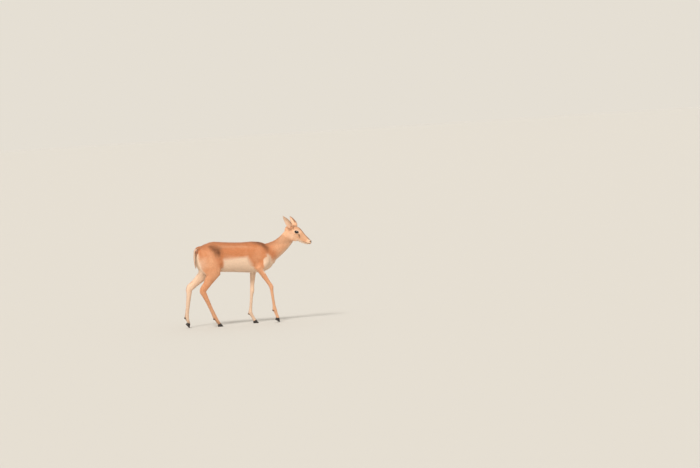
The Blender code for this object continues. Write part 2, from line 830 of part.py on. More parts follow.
def eye_tools(side):
    """For one eye: the lids to add, the opening between them to cut, and the eyeball's room."""
    centre = eye_centre(side)
    out = eye_axis(side)
    lids = ball("lids", centre + out * 0.0006, [EYE_RADIUS + LID_THICKNESS] * 3)
    along = (EYE_CORNER_LINE - out * EYE_CORNER_LINE.dot(out)).normalized()
    up = out.cross(along)
    if up.z < 0:
        up.negate()
    opening = bmesh.new()
    rings = []
    ring = 20
    for depth, grow in ((0.004, 0.86), (EYE_RADIUS + 0.006, 1.16)):
        line = []
        for step in range(ring):
            angle = 2 * math.pi * step / ring
            across, high = math.cos(angle), math.sin(angle)
            height = (EYE_UPPER if high > 0 else EYE_LOWER) * high * (1 - 0.25 * across**4)
            place = along * (EYE_HALF_LENGTH * across) + up * height
            line.append(opening.verts.new(centre + out * depth + place * grow))
        rings.append(line)
    for step in range(ring):
        after = (step + 1) % ring
        opening.faces.new((rings[0][step], rings[0][after], rings[1][after], rings[1][step]))
    opening.faces.new(rings[0])
    opening.faces.new(rings[1])
    bmesh.ops.recalc_face_normals(opening, faces=opening.faces)
    mesh = bpy.data.meshes.new("opening")
    opening.to_mesh(mesh)
    opening.free()
    room = ball("room", centre, [EYE_RADIUS + GAP] * 3, cuts=16)
    return lids, mesh, room


def bent_groove(name, points, radius):
    """A slim cutter along some points, for a slit in the skin."""
    rows = [(*point, radius, radius, radius) for point in points]
    return loft(name, rows, count=2 * len(points), ring=8)


def mouth_cutter():
    """A thin horseshoe round the muzzle, for the line of the mouth."""
    stations = [
        # along, half width of the muzzle there, height of the line
        (0.103, 0.0178, -0.0045),
        (0.118, 0.0172, -0.0030),
        (0.134, 0.0160, -0.0012),
        (0.148, 0.0138, 0.0006),
        (0.158, 0.0095, 0.0018),
        (0.1645, 0.0000, 0.0024),
    ]
    stations += [(x, -y, z) for x, y, z in reversed(stations[:-1])]
    middle = Vector((0.135, 0, 0))
    bm = bmesh.new()
    rings = []
    for x, y, z in stations:
        place = Vector((x, y, z))
        outward = Vector((max(0.0, x - middle.x) * 0.6, y, 0)).normalized()
        inner, outer = place - outward * MOUTH_DEPTH, place + outward * 0.008
        half = Vector((0, 0, MOUTH_GAP / 2))
        corners = (inner - half, outer - half, outer + half, inner + half)
        rings.append([bm.verts.new(corner) for corner in corners])
    for low, high in zip(rings, rings[1:]):
        for step in range(4):
            after = (step + 1) % 4
            bm.faces.new((low[step], low[after], high[after], high[step]))
    bm.faces.new(rings[0])
    bm.faces.new(rings[-1])
    bmesh.ops.recalc_face_normals(bm, faces=bm.faces)
    mesh = bpy.data.meshes.new("mouth")
    bm.to_mesh(mesh)
    bm.free()
    return mesh


def head_cutters():
    """Nostrils, mouth and the scent gland in front of each eye, in the head's own frame."""
    cutters = [mouth_cutter()]
    for side in SIDES.values():
        for points, radius in ((NOSTRIL, NOSTRIL_RADIUS), (SCENT_GLAND, GLAND_RADIUS)):
            placed = [(x, side * y, z) for x, y, z in points]
            cutters.append(bent_groove("slit", placed, radius))
    return cutters


NECK_CUT = (Vector((0.424, -0.0135, 0.614)), Vector((0.62, -0.10, 0.77)).normalized())


def half_space(centre, normal, size=0.5):
    """A big block on the side of a plane that its normal points to."""
    return plate(centre + normal * (size / 2 - GAP / 2), normal, size, size)


def head_pieces():
    """Head and ears, parted from each other."""
    matrix = head_matrix()
    flesh = skull()
    tools = [eye_tools(side) for side in SIDES.values()]
    for lids, opening, room in tools:
        for mesh in (lids, opening, room):
            mesh.transform(matrix)
    head = welded_skin("head", flesh + [neck()] + [lids for lids, _, _ in tools], HEAD_VOXEL)
    fill_folds(head, 140, behind_the_eyes)
    fair(head, 30, weight=behind_the_eyes, puff=-0.515)
    fair(head, 7, weight=away_from_eyes)
    centre, normal = NECK_CUT
    combined(head, half_space(centre, -normal), "DIFFERENCE")
    thinned(head, HEAD_TRIANGLES)
    ears = [ear(name) for name in SIDES]
    combined(head, joined("ears", ears), "UNION")
    for _, opening, room in tools:
        combined(head, opening, "DIFFERENCE")
        combined(head, room, "DIFFERENCE")
    for cutter in head_cutters():
        cutter.transform(matrix)
        combined(head, cutter, "DIFFERENCE")
    turn = matrix.to_3x3()
    plates, seeds = [], [("head", in_head(0.05, 0, 0.01))]
    for name, side in SIDES.items():
        along = EAR_TURN[name][0].normalized()
        face = EAR_TURN[name][1]
        face = (face - along * face.dot(along)).normalized()
        root = matrix @ (ear_place(side, EAR_CUT) + face * 0.008)
        plates.append(plate(root, turn @ along, EAR_CUT_HALF))
        seeds.append(("ear_" + name, matrix @ ear_place(side, 0.060)))
    return parted(head, plates, seeds)


def in_own_frame(points):
    """Places of the animal given in the head's own frame."""
    inverse = np.array(head_matrix().inverted())
    return points @ inverse[:3, :3].T + inverse[:3, 3]


def away_from_eyes(points):
    """How freely each point of the head may be smoothed: little on the lids."""
    own = in_own_frame(points)
    near = [np.linalg.norm(own - np.array(eye_centre(side)), axis=1) for side in SIDES.values()]
    return np.clip((np.minimum(*near) - 0.020) / 0.010, 0.12, 1.0)


def behind_the_eyes(points):
    """Full for the back of the skull and the throat, nothing for the face."""
    own = in_own_frame(points)
    return np.clip((0.030 - own[:, 0]) / 0.020, 0.0, 1.0) * away_from_eyes(points)


def body_pieces():
    """Trunk, neck, legs and tail, parted from each other."""
    meshes = [trunk(), neck(), seat()]
    added = [tail()]
    for mesh in shoulder_masses():
        meshes += [mesh, mirrored(mesh)]
    plates, seeds = [], []
    for name in LEGS:
        foot, joints, parts, claws = leg_parts(name)
        meshes += parts
        added += claws
        top, bend, low = list(joints.values())
        upper, depth, width = ("_forearm", ELBOW_CUT, PLATE_FOREARM)
        if "stifle" in joints:
            upper, depth, width = ("_gaskin", STIFLE_CUT, PLATE_THIGH)
            side = SIDES[name.split("_")[1]]
            meshes += [thigh(side, joints["stifle"]), hamstring(side, joints)]
        down = (bend - top).normalized()
        start = top + down * depth
        plates.append(plate(start, down, width))
        shin = (low - bend).normalized()
        knee = bend + shin * KNEE_CUT
        plates.append(plate(knee, shin, PLATE_CANNON))
        coronet, up = coronet_plane(foot)
        plates.append(plate(coronet, up, PLATE_CORONET))
        seeds.append((name + upper, start.lerp(knee, 0.5)))
        seeds.append((name + "_cannon", low.lerp(knee, 0.3)))
        seeds.append(("", coronet - up * 0.006))
    body = welded_skin("body", meshes, BODY_VOXEL)
    fill_folds(body, 110, softness)
    fair(body, 70, weight=softness, puff=-0.507)
    fair(body, 10)
    centre, normal = NECK_CUT
    combined(body, half_space(centre, normal), "DIFFERENCE")
    thinned(body, BODY_TRIANGLES)
    combined(body, joined("added", added), "UNION")
    plates.append(plate((0.300, 0, 0.500), (0.86, 0, 0.50), PLATE_NECK))
    plates.append(plate((-0.2530, 0, 0.5765), (-0.92, 0, -0.38), PLATE_TAIL))
    seeds += [("torso", (0.0, 0, 0.49)), ("neck", (0.36, 0, 0.55)), ("tail", (-0.266, 0, 0.50))]
    return parted(body, plates, seeds)


def softness(points):
    """How freely each point of the body may be smoothed: fully on the trunk, little on the legs."""
    x, y, z = points.T
    high = np.clip((z - 0.36) / 0.06, 0, 1)
    skull_end = np.clip((0.36 - x) / 0.06, 0, 1)
    return np.clip(high * skull_end, 0.03, 1.0)


def main():
    """Build every piece of the animal."""
    clear_scene()
    made = {**body_pieces(), **head_pieces()}
    for name, mesh in made.items():
        mesh.name = name
        add_object(name, mesh, "coat")
    for name, side in SIDES.items():
        eye = ball("eye", eye_centre(side), [EYE_RADIUS] * 3, cuts=16)
        eye.transform(head_matrix())
        add_object("eye_" + name, eye, "eye")
    for name in LEGS:
        foot = leg_parts(name)[0]
        for side_name, side in (("outer", 1), ("inner", -1)):
            outward = side * SIDES[name.split("_")[1]]
            claw(foot, outward, name.replace("leg", "hoof") + "_" + side_name)
    centre_on_origin()


def centre_on_origin():
    """Move everything so that the middle of the whole lies over the origin, feet on the floor."""
    corners = np.array([vert.co for obj in bpy.data.objects for vert in obj.data.vertices])
    low, high = corners.min(axis=0), corners.max(axis=0)
    shift = Vector((-(low[0] + high[0]) / 2, -(low[1] + high[1]) / 2, -low[2]))
    for obj in bpy.data.objects:
        obj.data.transform(Matrix.Translation(shift))


main()
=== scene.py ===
"""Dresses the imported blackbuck: one skin, a short coat of tufts, eyes, hooves and soft studio light.

Places are written in the maker's frame, X forward, Y to the left and Z up in metres from the floor,
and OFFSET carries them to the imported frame. The head has a frame of its own, with X towards the muzzle.
"""

import logging
import math
from dataclasses import dataclass, field
from enum import Enum

import bmesh
import bpy
import numpy as np
from mathutils import Matrix, Vector
from mathutils.kdtree import KDTree


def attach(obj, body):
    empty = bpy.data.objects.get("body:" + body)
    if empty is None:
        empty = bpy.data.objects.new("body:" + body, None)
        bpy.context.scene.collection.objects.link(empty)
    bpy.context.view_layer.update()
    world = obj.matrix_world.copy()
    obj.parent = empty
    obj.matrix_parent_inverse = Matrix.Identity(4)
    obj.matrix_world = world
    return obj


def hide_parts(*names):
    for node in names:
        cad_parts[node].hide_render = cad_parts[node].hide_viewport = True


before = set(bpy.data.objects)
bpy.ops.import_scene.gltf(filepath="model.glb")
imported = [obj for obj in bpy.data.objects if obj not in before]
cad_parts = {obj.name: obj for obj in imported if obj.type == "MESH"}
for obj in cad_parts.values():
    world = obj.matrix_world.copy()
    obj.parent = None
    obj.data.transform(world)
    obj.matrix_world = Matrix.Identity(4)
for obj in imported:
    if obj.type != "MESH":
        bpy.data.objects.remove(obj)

logging.basicConfig(level=logging.INFO, format="%(name)s: %(message)s")
log = logging.getLogger("blackbuck")

Point = tuple[float, float, float]
Rows = np.ndarray
Mesh = bpy.types.Mesh
Piece = bpy.types.Object
Material = bpy.types.Material
Socket = bpy.types.NodeSocket
Sockets = bpy.types.bpy_prop_collection
Tree = bpy.types.NodeTree


class Side(Enum):
    """The two sides of the animal, as the sign of Y."""

    LEFT = 1
    RIGHT = -1


class CoatPart(Enum):
    """The parts that the coat is cut into, each one piece."""

    TRUNK_LEFT = 1
    TRUNK_RIGHT = 2
    HAUNCH_LEFT = 3
    HAUNCH_RIGHT = 4
    NECK = 5
    HEAD = 6
    FORELEGS = 7
    HINDLEGS = 8


OFFSET = np.array((-0.113574, 0.0140, 0.0))
BODY = "root"
FLESH_NODES = (
    "torso", "neck", "head", "ear_left", "ear_right", "tail",
    "foreleg_left_forearm", "foreleg_left_cannon", "foreleg_right_forearm", "foreleg_right_cannon",
    "hindleg_left_gaskin", "hindleg_left_cannon", "hindleg_right_gaskin", "hindleg_right_cannon",
)
SAME_PLACE = 1e-5

HEAD_ORIGIN, HEAD_TURN_DEG, HEAD_NOD_DEG = (0.452, -0.020, 0.638), -30, 30
HEAD_MATRIX = (
    Matrix.Translation(HEAD_ORIGIN)
    @ Matrix.Rotation(math.radians(HEAD_TURN_DEG), 4, "Z")
    @ Matrix.Rotation(math.radians(HEAD_NOD_DEG), 4, "Y")
)
HEAD_JOIN, HEAD_JOIN_WAY = np.array((0.424, -0.0135, 0.614)), np.array((0.624, -0.101, 0.775))
TRUNK_JOIN, TRUNK_JOIN_WAY = np.array((0.300, 0.0, 0.500)), np.array((0.864, 0.0, 0.503))

EYE_CENTRE, EYE_RADIUS = (0.044, 0.0295, 0.0390), 0.0150
EYE_LINE = np.array((0.97, 0.0, 0.24)) / math.hypot(0.97, 0.24)
EYE_UP = np.array((-0.24, 0.0, 0.97)) / math.hypot(0.97, 0.24)
EYE_LENGTH, EYE_UPPER, EYE_LOWER = 0.0128, 0.0092, 0.0078
TEAR = ((0.0565, 0.0325, 0.0420), (0.0600, 0.0318, 0.0405))
GLAND = ((0.0675, 0.0350, 0.0300), (0.0715, 0.0335, 0.0250), (0.0745, 0.0312, 0.0200))
NOSTRIL = (
    (0.1655, 0.0062, 0.0198), (0.1640, 0.0105, 0.0214), (0.1600, 0.0138, 0.0208), (0.1562, 0.0150, 0.0188),
)
MOUTH = (
    (0.103, -0.0045), (0.118, -0.0030), (0.134, -0.0012), (0.148, 0.0006), (0.158, 0.0018), (0.175, 0.0026),
)
EAR_FACES = {Side.LEFT: (0.62, 0.70, -0.10), Side.RIGHT: (0.30, -0.80, -0.30)}
EAR_WAYS = {Side.LEFT: (-0.72, 0.60, 0.34), Side.RIGHT: (-0.77, -0.49, 0.44)}
EAR_LENGTH = 0.115


def ramp(values: Rows, low: float, high: float) -> Rows:
    """Goes smoothly from 0 at low to 1 at high, and also works downwards.

    Args:
        values: What is compared with the two ends.
        low: The value that gives 0.
        high: The value that gives 1.

    Returns:
        An array of the same length, from 0 to 1.
    """
    share = np.clip((values - low) / (high - low), 0.0, 1.0)
    return share * share * (3.0 - 2.0 * share)


def bell(distance: Rows, width: float) -> Rows:
    """1 on a line, falling smoothly to nothing a few widths away."""
    return np.exp(-((distance / width) ** 2))


def waves(places: Rows, length: float, seed: int) -> Rows:
    """A gentle irregular field of about -1 to 1, the sum of a few seeded waves.

    Args:
        places: Points, one row each.
        length: The length of the longest wave in metres.
        seed: The seed of the directions.

    Returns:
        One value for each point.
    """
    draw = np.random.default_rng(seed)
    total = np.zeros(len(places))
    count, shortest, spread = 6, 0.35, 2.6
    for _ in range(count):
        way = draw.normal(size=3)
        way /= np.linalg.norm(way)
        turns = 2.0 * math.pi / (length * draw.uniform(shortest, 1.0))
        total += np.sin(places @ way * turns + draw.uniform(0, 2 * math.pi))
    return total / spread


def unit(rows: Rows) -> Rows:
    """Rows, or a single one, scaled to a length of one."""
    return rows / np.maximum(np.linalg.norm(rows, axis=-1, keepdims=True), 1e-9)


def line_distance(places: Rows, points: tuple[tuple[float, ...], ...]) -> Rows:
    """The distance from each place to a line through the points.

    Args:
        places: Points as rows.
        points: The corners of the line; corners of two values are seen from the side, as X and Z.

    Returns:
        One distance for each place.
    """
    if len(points[0]) == 2:
        places = places[:, (0, 2)]
    best = np.full(len(places), np.inf)
    for start, end in zip(np.array(points), np.array(points)[1:]):
        line = end - start
        share = np.clip((places - start) @ line / (line @ line), 0.0, 1.0)
        best = np.minimum(best, np.linalg.norm(places - (start + share[:, None] * line), axis=1))
    return best


def head_point(x: float, y: float, z: float) -> Point:
    """A place in the head's own frame, carried to the maker's frame."""
    return tuple(HEAD_MATRIX @ Vector((x, y, z)))


def head_way(x: float, y: float, z: float) -> Point:
    """A direction in the head's own frame, carried to the maker's frame."""
    return tuple(HEAD_MATRIX.to_3x3() @ Vector((x, y, z)))


def into_head(places: Rows) -> Rows:
    """Places of the maker's frame in the head's own frame."""
    inverse = np.array(HEAD_MATRIX.inverted())
    return places @ inverse[:3, :3].T + inverse[:3, 3]


def mirrored(head: Rows) -> Rows:
    """Places in the head's own frame with both sides laid over the left one."""
    return np.stack((head[:, 0], np.abs(head[:, 1]), head[:, 2]), axis=1)


def eye_reach(head: Rows) -> tuple[Rows, Rows]:
    """How far each place is from the middle of its eye, 1 on the rim of the lids, and its height.

    Args:
        head: Places in the head's own frame.

    Returns:
        The reach, large on the far side of the head, and the height above the corner line.
    """
    away = mirrored(head) - np.array(EYE_CENTRE)
    along, up = away @ EYE_LINE, away @ EYE_UP
    tall = np.where(up > 0, EYE_UPPER, EYE_LOWER)
    reach = np.sqrt((along / EYE_LENGTH) ** 2 + (up / tall) ** 2)
    return reach + 10.0 * ramp(mirrored(head)[:, 1], 0.021, 0.016), up


def ear_base(side: Side) -> Rows:
    """The middle of an ear's root in the head's own frame."""
    return np.array((0.0, 0.0255 * side.value, 0.053))


@dataclass(frozen=True)
class Bone:
    """A straight length of the body; the hair runs along it from start to end, or has its own lie."""

    name: str
    start: Point
    end: Point
    reach: float
    lie: Point | None = None

    def along(self) -> Rows:
        """The unit vector from start to end."""
        line = np.array(self.end) - np.array(self.start)
        return line / np.linalg.norm(line)

    def flow(self) -> Rows:
        """The way that the hair lies, along the bone unless it has its own."""
        if self.lie is None:
            return self.along()
        way = np.array(self.lie)
        return way / np.linalg.norm(way)

    def distance(self, places: Rows) -> Rows:
        """The distance from each place to the bone, less its reach and never quite nothing."""
        return np.maximum(line_distance(places, (self.start, self.end)) - self.reach, 0.002)


@dataclass(frozen=True)
class Leg:
    """The joints of one leg from the top down, and where its toe stands."""

    name: str
    side: Side
    top: Point
    elbow: Point
    knee: Point
    fetlock: Point
    toe: Point
    tipped_deg: float

    def joints(self) -> tuple[Point, ...]:
        """The joints in order, ending a little above the toe."""
        return (self.top, self.elbow, self.knee, self.fetlock, self.toe)

    def down(self) -> Rows:
        """The direction of the cannon, downwards."""
        line = np.array(self.fetlock) - np.array(self.knee)
        return line / np.linalg.norm(line)

    def back(self) -> Rows:
        """The direction square to the cannon, backwards."""
        down = self.down()
        way = np.array((down[2], 0.0, -down[0]))
        tip = math.radians(self.tipped_deg)
        return way if way @ np.array((-math.cos(tip), 0.0, math.sin(tip))) > 0 else -way


LEGS = (
    Leg(
        "foreleg_left", Side.LEFT, (0.20, 0.052, 0.50), (0.172, 0.051, 0.405), (0.153, 0.049, 0.238),
        (0.131, 0.047, 0.078), (0.175, 0.047, 0.015), 0,
    ),
    Leg(
        "foreleg_right", Side.RIGHT, (0.20, -0.052, 0.50), (0.192, -0.051, 0.408), (0.277, -0.049, 0.264),
        (0.293, -0.047, 0.099), (0.318, -0.047, 0.02), 34,
    ),
    Leg(
        "hindleg_left", Side.LEFT, (-0.19, 0.05, 0.53), (-0.164, 0.053, 0.408), (-0.309, 0.051, 0.284),
        (-0.343, 0.050, 0.080), (-0.330, 0.050, 0.02), 48,
    ),
    Leg(
        "hindleg_right", Side.RIGHT, (-0.18, -0.05, 0.53), (-0.136, -0.053, 0.404), (-0.231, -0.051, 0.266),
        (-0.154, -0.050, 0.070), (-0.110, -0.050, 0.015), 0,
    ),
)
LEG_REACHES = {"thigh": 0.035, "shank": 0.018, "cannon": 0.010, "pastern": 0.011}


def body_bones() -> list[Bone]:
    """The bones of the body, each with the way that the hair lies on it."""
    bones = [
        Bone("back", (0.16, 0, 0.525), (-0.14, 0, 0.53), 0.06, (-1, 0, -0.22)),
        Bone("belly", (0.16, 0, 0.44), (-0.06, 0, 0.45), 0.05, (-1, 0, -0.30)),
        Bone("croup", (-0.16, 0, 0.545), (-0.225, 0, 0.53), 0.055, (-0.75, 0, -0.55)),
        Bone("neck", (0.425, -0.01, 0.630), (0.25, 0, 0.505), 0.035),
        Bone("breast", (0.27, 0, 0.47), (0.20, 0, 0.41), 0.035, (-0.35, 0, -1)),
        Bone("tail", (-0.262, 0, 0.575), (-0.268, 0, 0.43), 0.006),
        Bone("face", head_point(0.165, 0, 0.01), head_point(0.02, 0, 0.01), 0.016),
    ]
    for side, way in EAR_WAYS.items():
        tip = ear_base(side) + EAR_LENGTH * np.array(way)
        bones.append(Bone(f"ear_{side.name}", head_point(*ear_base(side)), head_point(*tip), 0.006))
    for leg in LEGS:
        points = leg.joints()
        for (part, reach), start, end in zip(LEG_REACHES.items(), points, points[1:]):
            bones.append(Bone(f"{leg.name}_{part}", start, end, reach))
    return bones


@dataclass
class SurfaceMap:
    """What is known of each point of the skin, for its marks, its coat and its shape."""

    places: Rows
    normals: Rows
    nodes: Rows
    head: Rows = field(init=False)

    def __post_init__(self) -> None:
        """Works out the places in the head's own frame."""
        self.head = into_head(self.places)

    def on(self, *names: str) -> Rows:
        """1 where a point belongs to one of the named solids, or to one whose name starts so."""
        found = [i for i, node in enumerate(FLESH_NODES) if node.startswith(names)]
        return np.isin(self.nodes, found).astype(float)


@dataclass(frozen=True)
class Spot:
    """A round patch seen from the side or above: its middle, and its size both ways."""

    middle: tuple[float, float]
    size: tuple[float, float]

    def reach(self, first: Rows, second: Rows) -> Rows:
        """How far each place is from the middle, 1 at the patch's own size."""
        ways = ((first - self.middle[0]) / self.size[0], (second - self.middle[1]) / self.size[1])
        return np.sqrt(ways[0] ** 2 + ways[1] ** 2)


@dataclass
class MarksAndShade:
    """The colours of a young blackbuck's coat, with painted shade and a painted highlight, as masks over the
    skin.

    The four masks are white hair, dark brown hair that also carries painted shade and shadow, pale cream in
    place of tan that also carries a painted highlight, and bare dark skin.
    A pair of values is where a mark starts and where it is full, a share is how strong it gets, and
    a width is how far it fades away from its line.
    """

    belly_line: tuple = ((-0.30, 0.490), (-0.066, 0.503), (0.052, 0.495), (0.127, 0.489), (0.18, 0.455))
    flank_start: tuple = (-0.074, -0.064)
    inside_turn: tuple = (0.10, 0.55)
    inside_top: tuple = (0.50, 0.46)
    under_turn: tuple = (-0.35, -0.75)
    under_top: tuple = (0.47, 0.44)
    chest: Spot = Spot((0.262, 0.438), (0.036, 0.050))
    front_turn: tuple = (0.15, 0.6)
    front_top: tuple = (0.52, 0.49)
    front_start: tuple = (0.20, 0.23)
    throat_turn: tuple = (-0.35, -0.85)
    rump_line: tuple = ((0.40, -0.218), (0.436, -0.231), (0.48, -0.239), (0.532, -0.251), (0.555, -0.266))
    rump_top: tuple = (0.562, 0.550)
    tail_edge: tuple = (0.0030, 0.0055)
    # Painted shade down the front edge of the shoulder blade.
    shoulder_shade_line: tuple = ((0.165, 0.602), (0.207, 0.592), (0.243, 0.573), (0.264, 0.545), (0.270, 0.515))
    shoulder_shade_width: float = 0.0175
    # Painted shade on the top of the back, where the skin faces up.
    spine_shade_sides: tuple = (0.060, 0.020)
    spine_shade_turn: tuple = (0.15, 0.75)
    saddle_middle: float = 0.195
    # Painted shade in the dip of the flank in front of the hip.
    flank_shade_line: tuple = ((-0.150, 0.586), (-0.116, 0.560), (-0.094, 0.530), (-0.085, 0.508))
    flank_shade_width: float = 0.023
    dust_height: tuple = (0.28, 0.14)
    stripe_line: tuple = ((-0.12, 0.581), (-0.06, 0.580), (0.021, 0.573), (0.147, 0.562))
    stripe_width: float = 0.0075
    # A painted highlight, pale in the middle of the thigh.
    thigh: Spot = Spot((-0.165, 0.475), (0.055, 0.075))
    shoulder: Spot = Spot((0.19, 0.50), (0.05, 0.06))
    head_share: float = 0.93
    cheek: Spot = Spot((0.022, -0.002), (0.035, 0.026))
    crown: Spot = Spot((0.002, 0.0), (0.021, 0.023))
    bridge_half: tuple = ((-0.01, 0.003), (0.02, 0.008), (0.05, 0.0125), (0.10, 0.0115), (0.155, 0.0100))
    nose_half: tuple = (
        (0.0095, 0.0010), (0.0125, 0.0024), (0.0165, 0.0060), (0.0205, 0.0078), (0.0235, 0.0060),
    )
    ear_hollow: tuple = ((0.0, 0.0080), (0.03, 0.0125), (0.06, 0.0150), (0.118, 0.0060))
    ear_half: tuple = ((0.0, 0.012), (0.03, 0.018), (0.06, 0.019), (0.09, 0.014), (0.12, 0.003))

    def paint(self, skin: SurfaceMap) -> Rows:
        """Gives the four masks of every point.

        Args:
            skin: The points of the skin.

        Returns:
            One row of four values for each point.
        """
        masks = np.zeros((len(skin.places), 4))
        jag = waves(skin.places, 0.03, 3)
        masks[:, 0] = self.white(skin, jag)
        masks[:, 1] = self.brown(skin, waves(skin.places, 0.024, 5))
        masks[:, 2] = self.cream(skin)
        self.face(skin, masks, jag)
        self.bare_face(skin, masks)
        self.ears(skin, masks)
        self.claws(skin, masks)
        return np.clip(masks, 0.0, 1.0)

    @staticmethod
    def raise_to(masks: Rows, column: int, values: Rows) -> None:
        """Lifts one of the masks to the values, where it is below them."""
        masks[:, column] = np.maximum(masks[:, column], values)

    def white(self, skin: SurfaceMap, jag: Rows) -> Rows:
        """The white of the belly, chest, throat, rump, tail edges and inner legs."""
        x, z, side = skin.places[:, 0], skin.places[:, 2], np.abs(skin.places[:, 1])
        ahead, up = skin.normals[:, 0], skin.normals[:, 2]
        inner = -skin.normals[:, 1] * np.sign(skin.places[:, 1])
        line = np.interp(x, *zip(*self.belly_line))
        below = ramp(z + 0.0012 * jag, line + 0.0030, line - 0.0030)
        arm_edge = 0.124 + 0.40 * (0.49 - z)
        middle = ramp(x, *self.flank_start) * ramp(x + 0.002 * jag, arm_edge + 0.006, arm_edge - 0.006)
        inside = ramp(inner, *self.inside_turn) * ramp(z, *self.inside_top)
        under = ramp(up, *self.under_turn) * ramp(z, *self.under_top)
        front = ramp(ahead, *self.front_turn) * ramp(z, *self.front_top) * ramp(x, *self.front_start)
        breast = np.maximum(ramp(self.chest.reach(x, z) + 0.06 * jag, 1.12, 0.88), front)
        edge = np.interp(z, *zip(*self.rump_line))
        rump = ramp(x + 0.0015 * jag, edge + 0.003, edge - 0.003) * ramp(z, *self.rump_top)
        return np.maximum.reduce((
            skin.on("torso") * np.maximum.reduce((below * middle, inside, under, rump)),
            skin.on("torso", "neck") * breast,
            0.75 * skin.on("neck") * ramp(up - 0.5 * ahead, *self.throat_turn),
            0.9 * skin.on("hindleg", "foreleg") * ramp(inner, 0.0, 0.5),
            skin.on("tail") * 0.9 * ramp(side + 0.0006 * jag, *self.tail_edge),
        ))

    def brown(self, skin: SurfaceMap, jag: Rows) -> Rows:
        """The dark hair and the painted shade: painted shade down the front of the shoulder blade, on the top
        of the back and in the dip in front of the hip, the tail's dark front with painted shadow under it,
        and dust low on the legs.
        """
        x, z, side = skin.places[:, 0], skin.places[:, 2], np.abs(skin.places[:, 1])
        ahead, up = skin.normals[:, 0], skin.normals[:, 2]
        # Painted shade along the front edge of the shoulder blade, from the top of the back down.
        reach = line_distance(skin.places, self.shoulder_shade_line) + 0.0015 * jag
        withers_shade = 0.74 * bell(reach, self.shoulder_shade_width) * ramp(z, 0.50, 0.56)
        # Painted shade on the top of the back: darker where the skin faces up, and darker high up.
        spine_shade = 0.30 * ramp(side, *self.spine_shade_sides) * ramp(up, *self.spine_shade_turn) * ramp(z, 0.545, 0.575)
        back = 0.19 * ramp(z + 0.004 * jag, 0.560, 0.580)
        saddle = 0.55 * bell(x - self.saddle_middle, 0.05) * ramp(side, 0.040, 0.008) * ramp(z, 0.575, 0.59)
        # Painted shade in the dip of the flank in front of the hip.
        reach = line_distance(skin.places, self.flank_shade_line) + 0.003 * jag
        flank_shade = 0.80 * bell(reach, self.flank_shade_width) * ramp(z, 0.497, 0.514) * ramp(side, 0.03, 0.05)
        # The tail's front half dark: partly its own dark hair, partly painted shadow in the gap against the
        # rump.
        tail = 0.80 * ramp(ahead, -0.35, 0.15) * ramp(z, 0.565, 0.545) * ramp(z, 0.446, 0.462)
        # Painted shadow: a dark line on the rump under the tail.
        under_tail_shadow = 0.70 * ramp(side, 0.0085, 0.0045) * ramp(ahead, -0.2, -0.5) * ramp(z, 0.556, 0.540)
        return np.maximum.reduce((
            skin.on("torso", "neck") * np.maximum.reduce((withers_shade, spine_shade, back, saddle, flank_shade)),
            skin.on("tail") * tail,
            skin.on("torso") * under_tail_shadow,
            0.18 * skin.on("hindleg", "foreleg") * ramp(z, *self.dust_height),
        ))

    def cream(self, skin: SurfaceMap) -> Rows:
        """Where the tan turns pale: the side stripe, a painted highlight on the thigh, the neck and down the
        legs.
        """
        x, z = skin.places[:, 0], skin.places[:, 2]
        rise = z - np.interp(x, *zip(*self.stripe_line))
        stripe = 0.40 * ramp(x, -0.135, -0.10) * ramp(x, 0.175, 0.14) * bell(rise, self.stripe_width)
        # Painted highlight: pale in the middle of the thigh.
        thigh = 0.62 * bell(self.thigh.reach(x, z), 1.0)
        shoulder = 0.30 * bell(self.shoulder.reach(x, z), 1.0)
        low = 0.5 * ramp(z, 0.46, 0.40)
        nape = 0.8 * (z - 0.60) - 0.6 * (x - 0.35)
        to_head = ramp((skin.places - HEAD_JOIN) @ HEAD_JOIN_WAY, -0.075, 0.0)
        to_trunk = ramp((skin.places - TRUNK_JOIN) @ TRUNK_JOIN_WAY, 0.0, 0.055)
        own = to_trunk * (0.26 + 0.45 * ramp(nape, 0.015, -0.035) + 0.20 * ramp(x, 0.32, 0.43))
        return np.maximum.reduce((
            skin.on("torso") * np.maximum.reduce((stripe, thigh, shoulder, low)),
            skin.on("neck") * (own + (self.head_share - own) * to_head),
            skin.on("head") * self.head_share,
            skin.on("foreleg") * (0.62 + 0.30 * ramp(z, 0.36, 0.12)),
            skin.on("hindleg") * (0.36 + 0.40 * ramp(z, 0.30, 0.06)),
            0.3 * skin.on("tail"),
        ))

    def face(self, skin: SurfaceMap, masks: Rows, jag: Rows) -> None:
        """Adds the pale and the dark hair of the head to the masks, with painted shade along the nose ridge.
        """
        head, h = skin.on("head"), mirrored(skin.head)
        ahead, side, up = h.T
        eye, _ = eye_reach(skin.head)
        ring = 0.66 * bell(eye - 1.50, 0.50) * ramp(eye, 3.0, 2.2)
        chin = ramp(up + 0.04 * (ahead - 0.12), -0.002, -0.008) * ramp(ahead, 0.045, 0.085)
        below = 0.75 * ramp(skin.normals @ np.array(head_way(0, 0, 1)), -0.4, -0.8)
        muzzle = 0.60 * ramp(ahead + 0.0012 * jag, 0.128, 0.148)
        cheek = 0.52 * bell(self.cheek.reach(ahead, up), 1.0)
        self.raise_to(masks, 0, head * np.maximum.reduce((ring, chin, below, muzzle, cheek)))
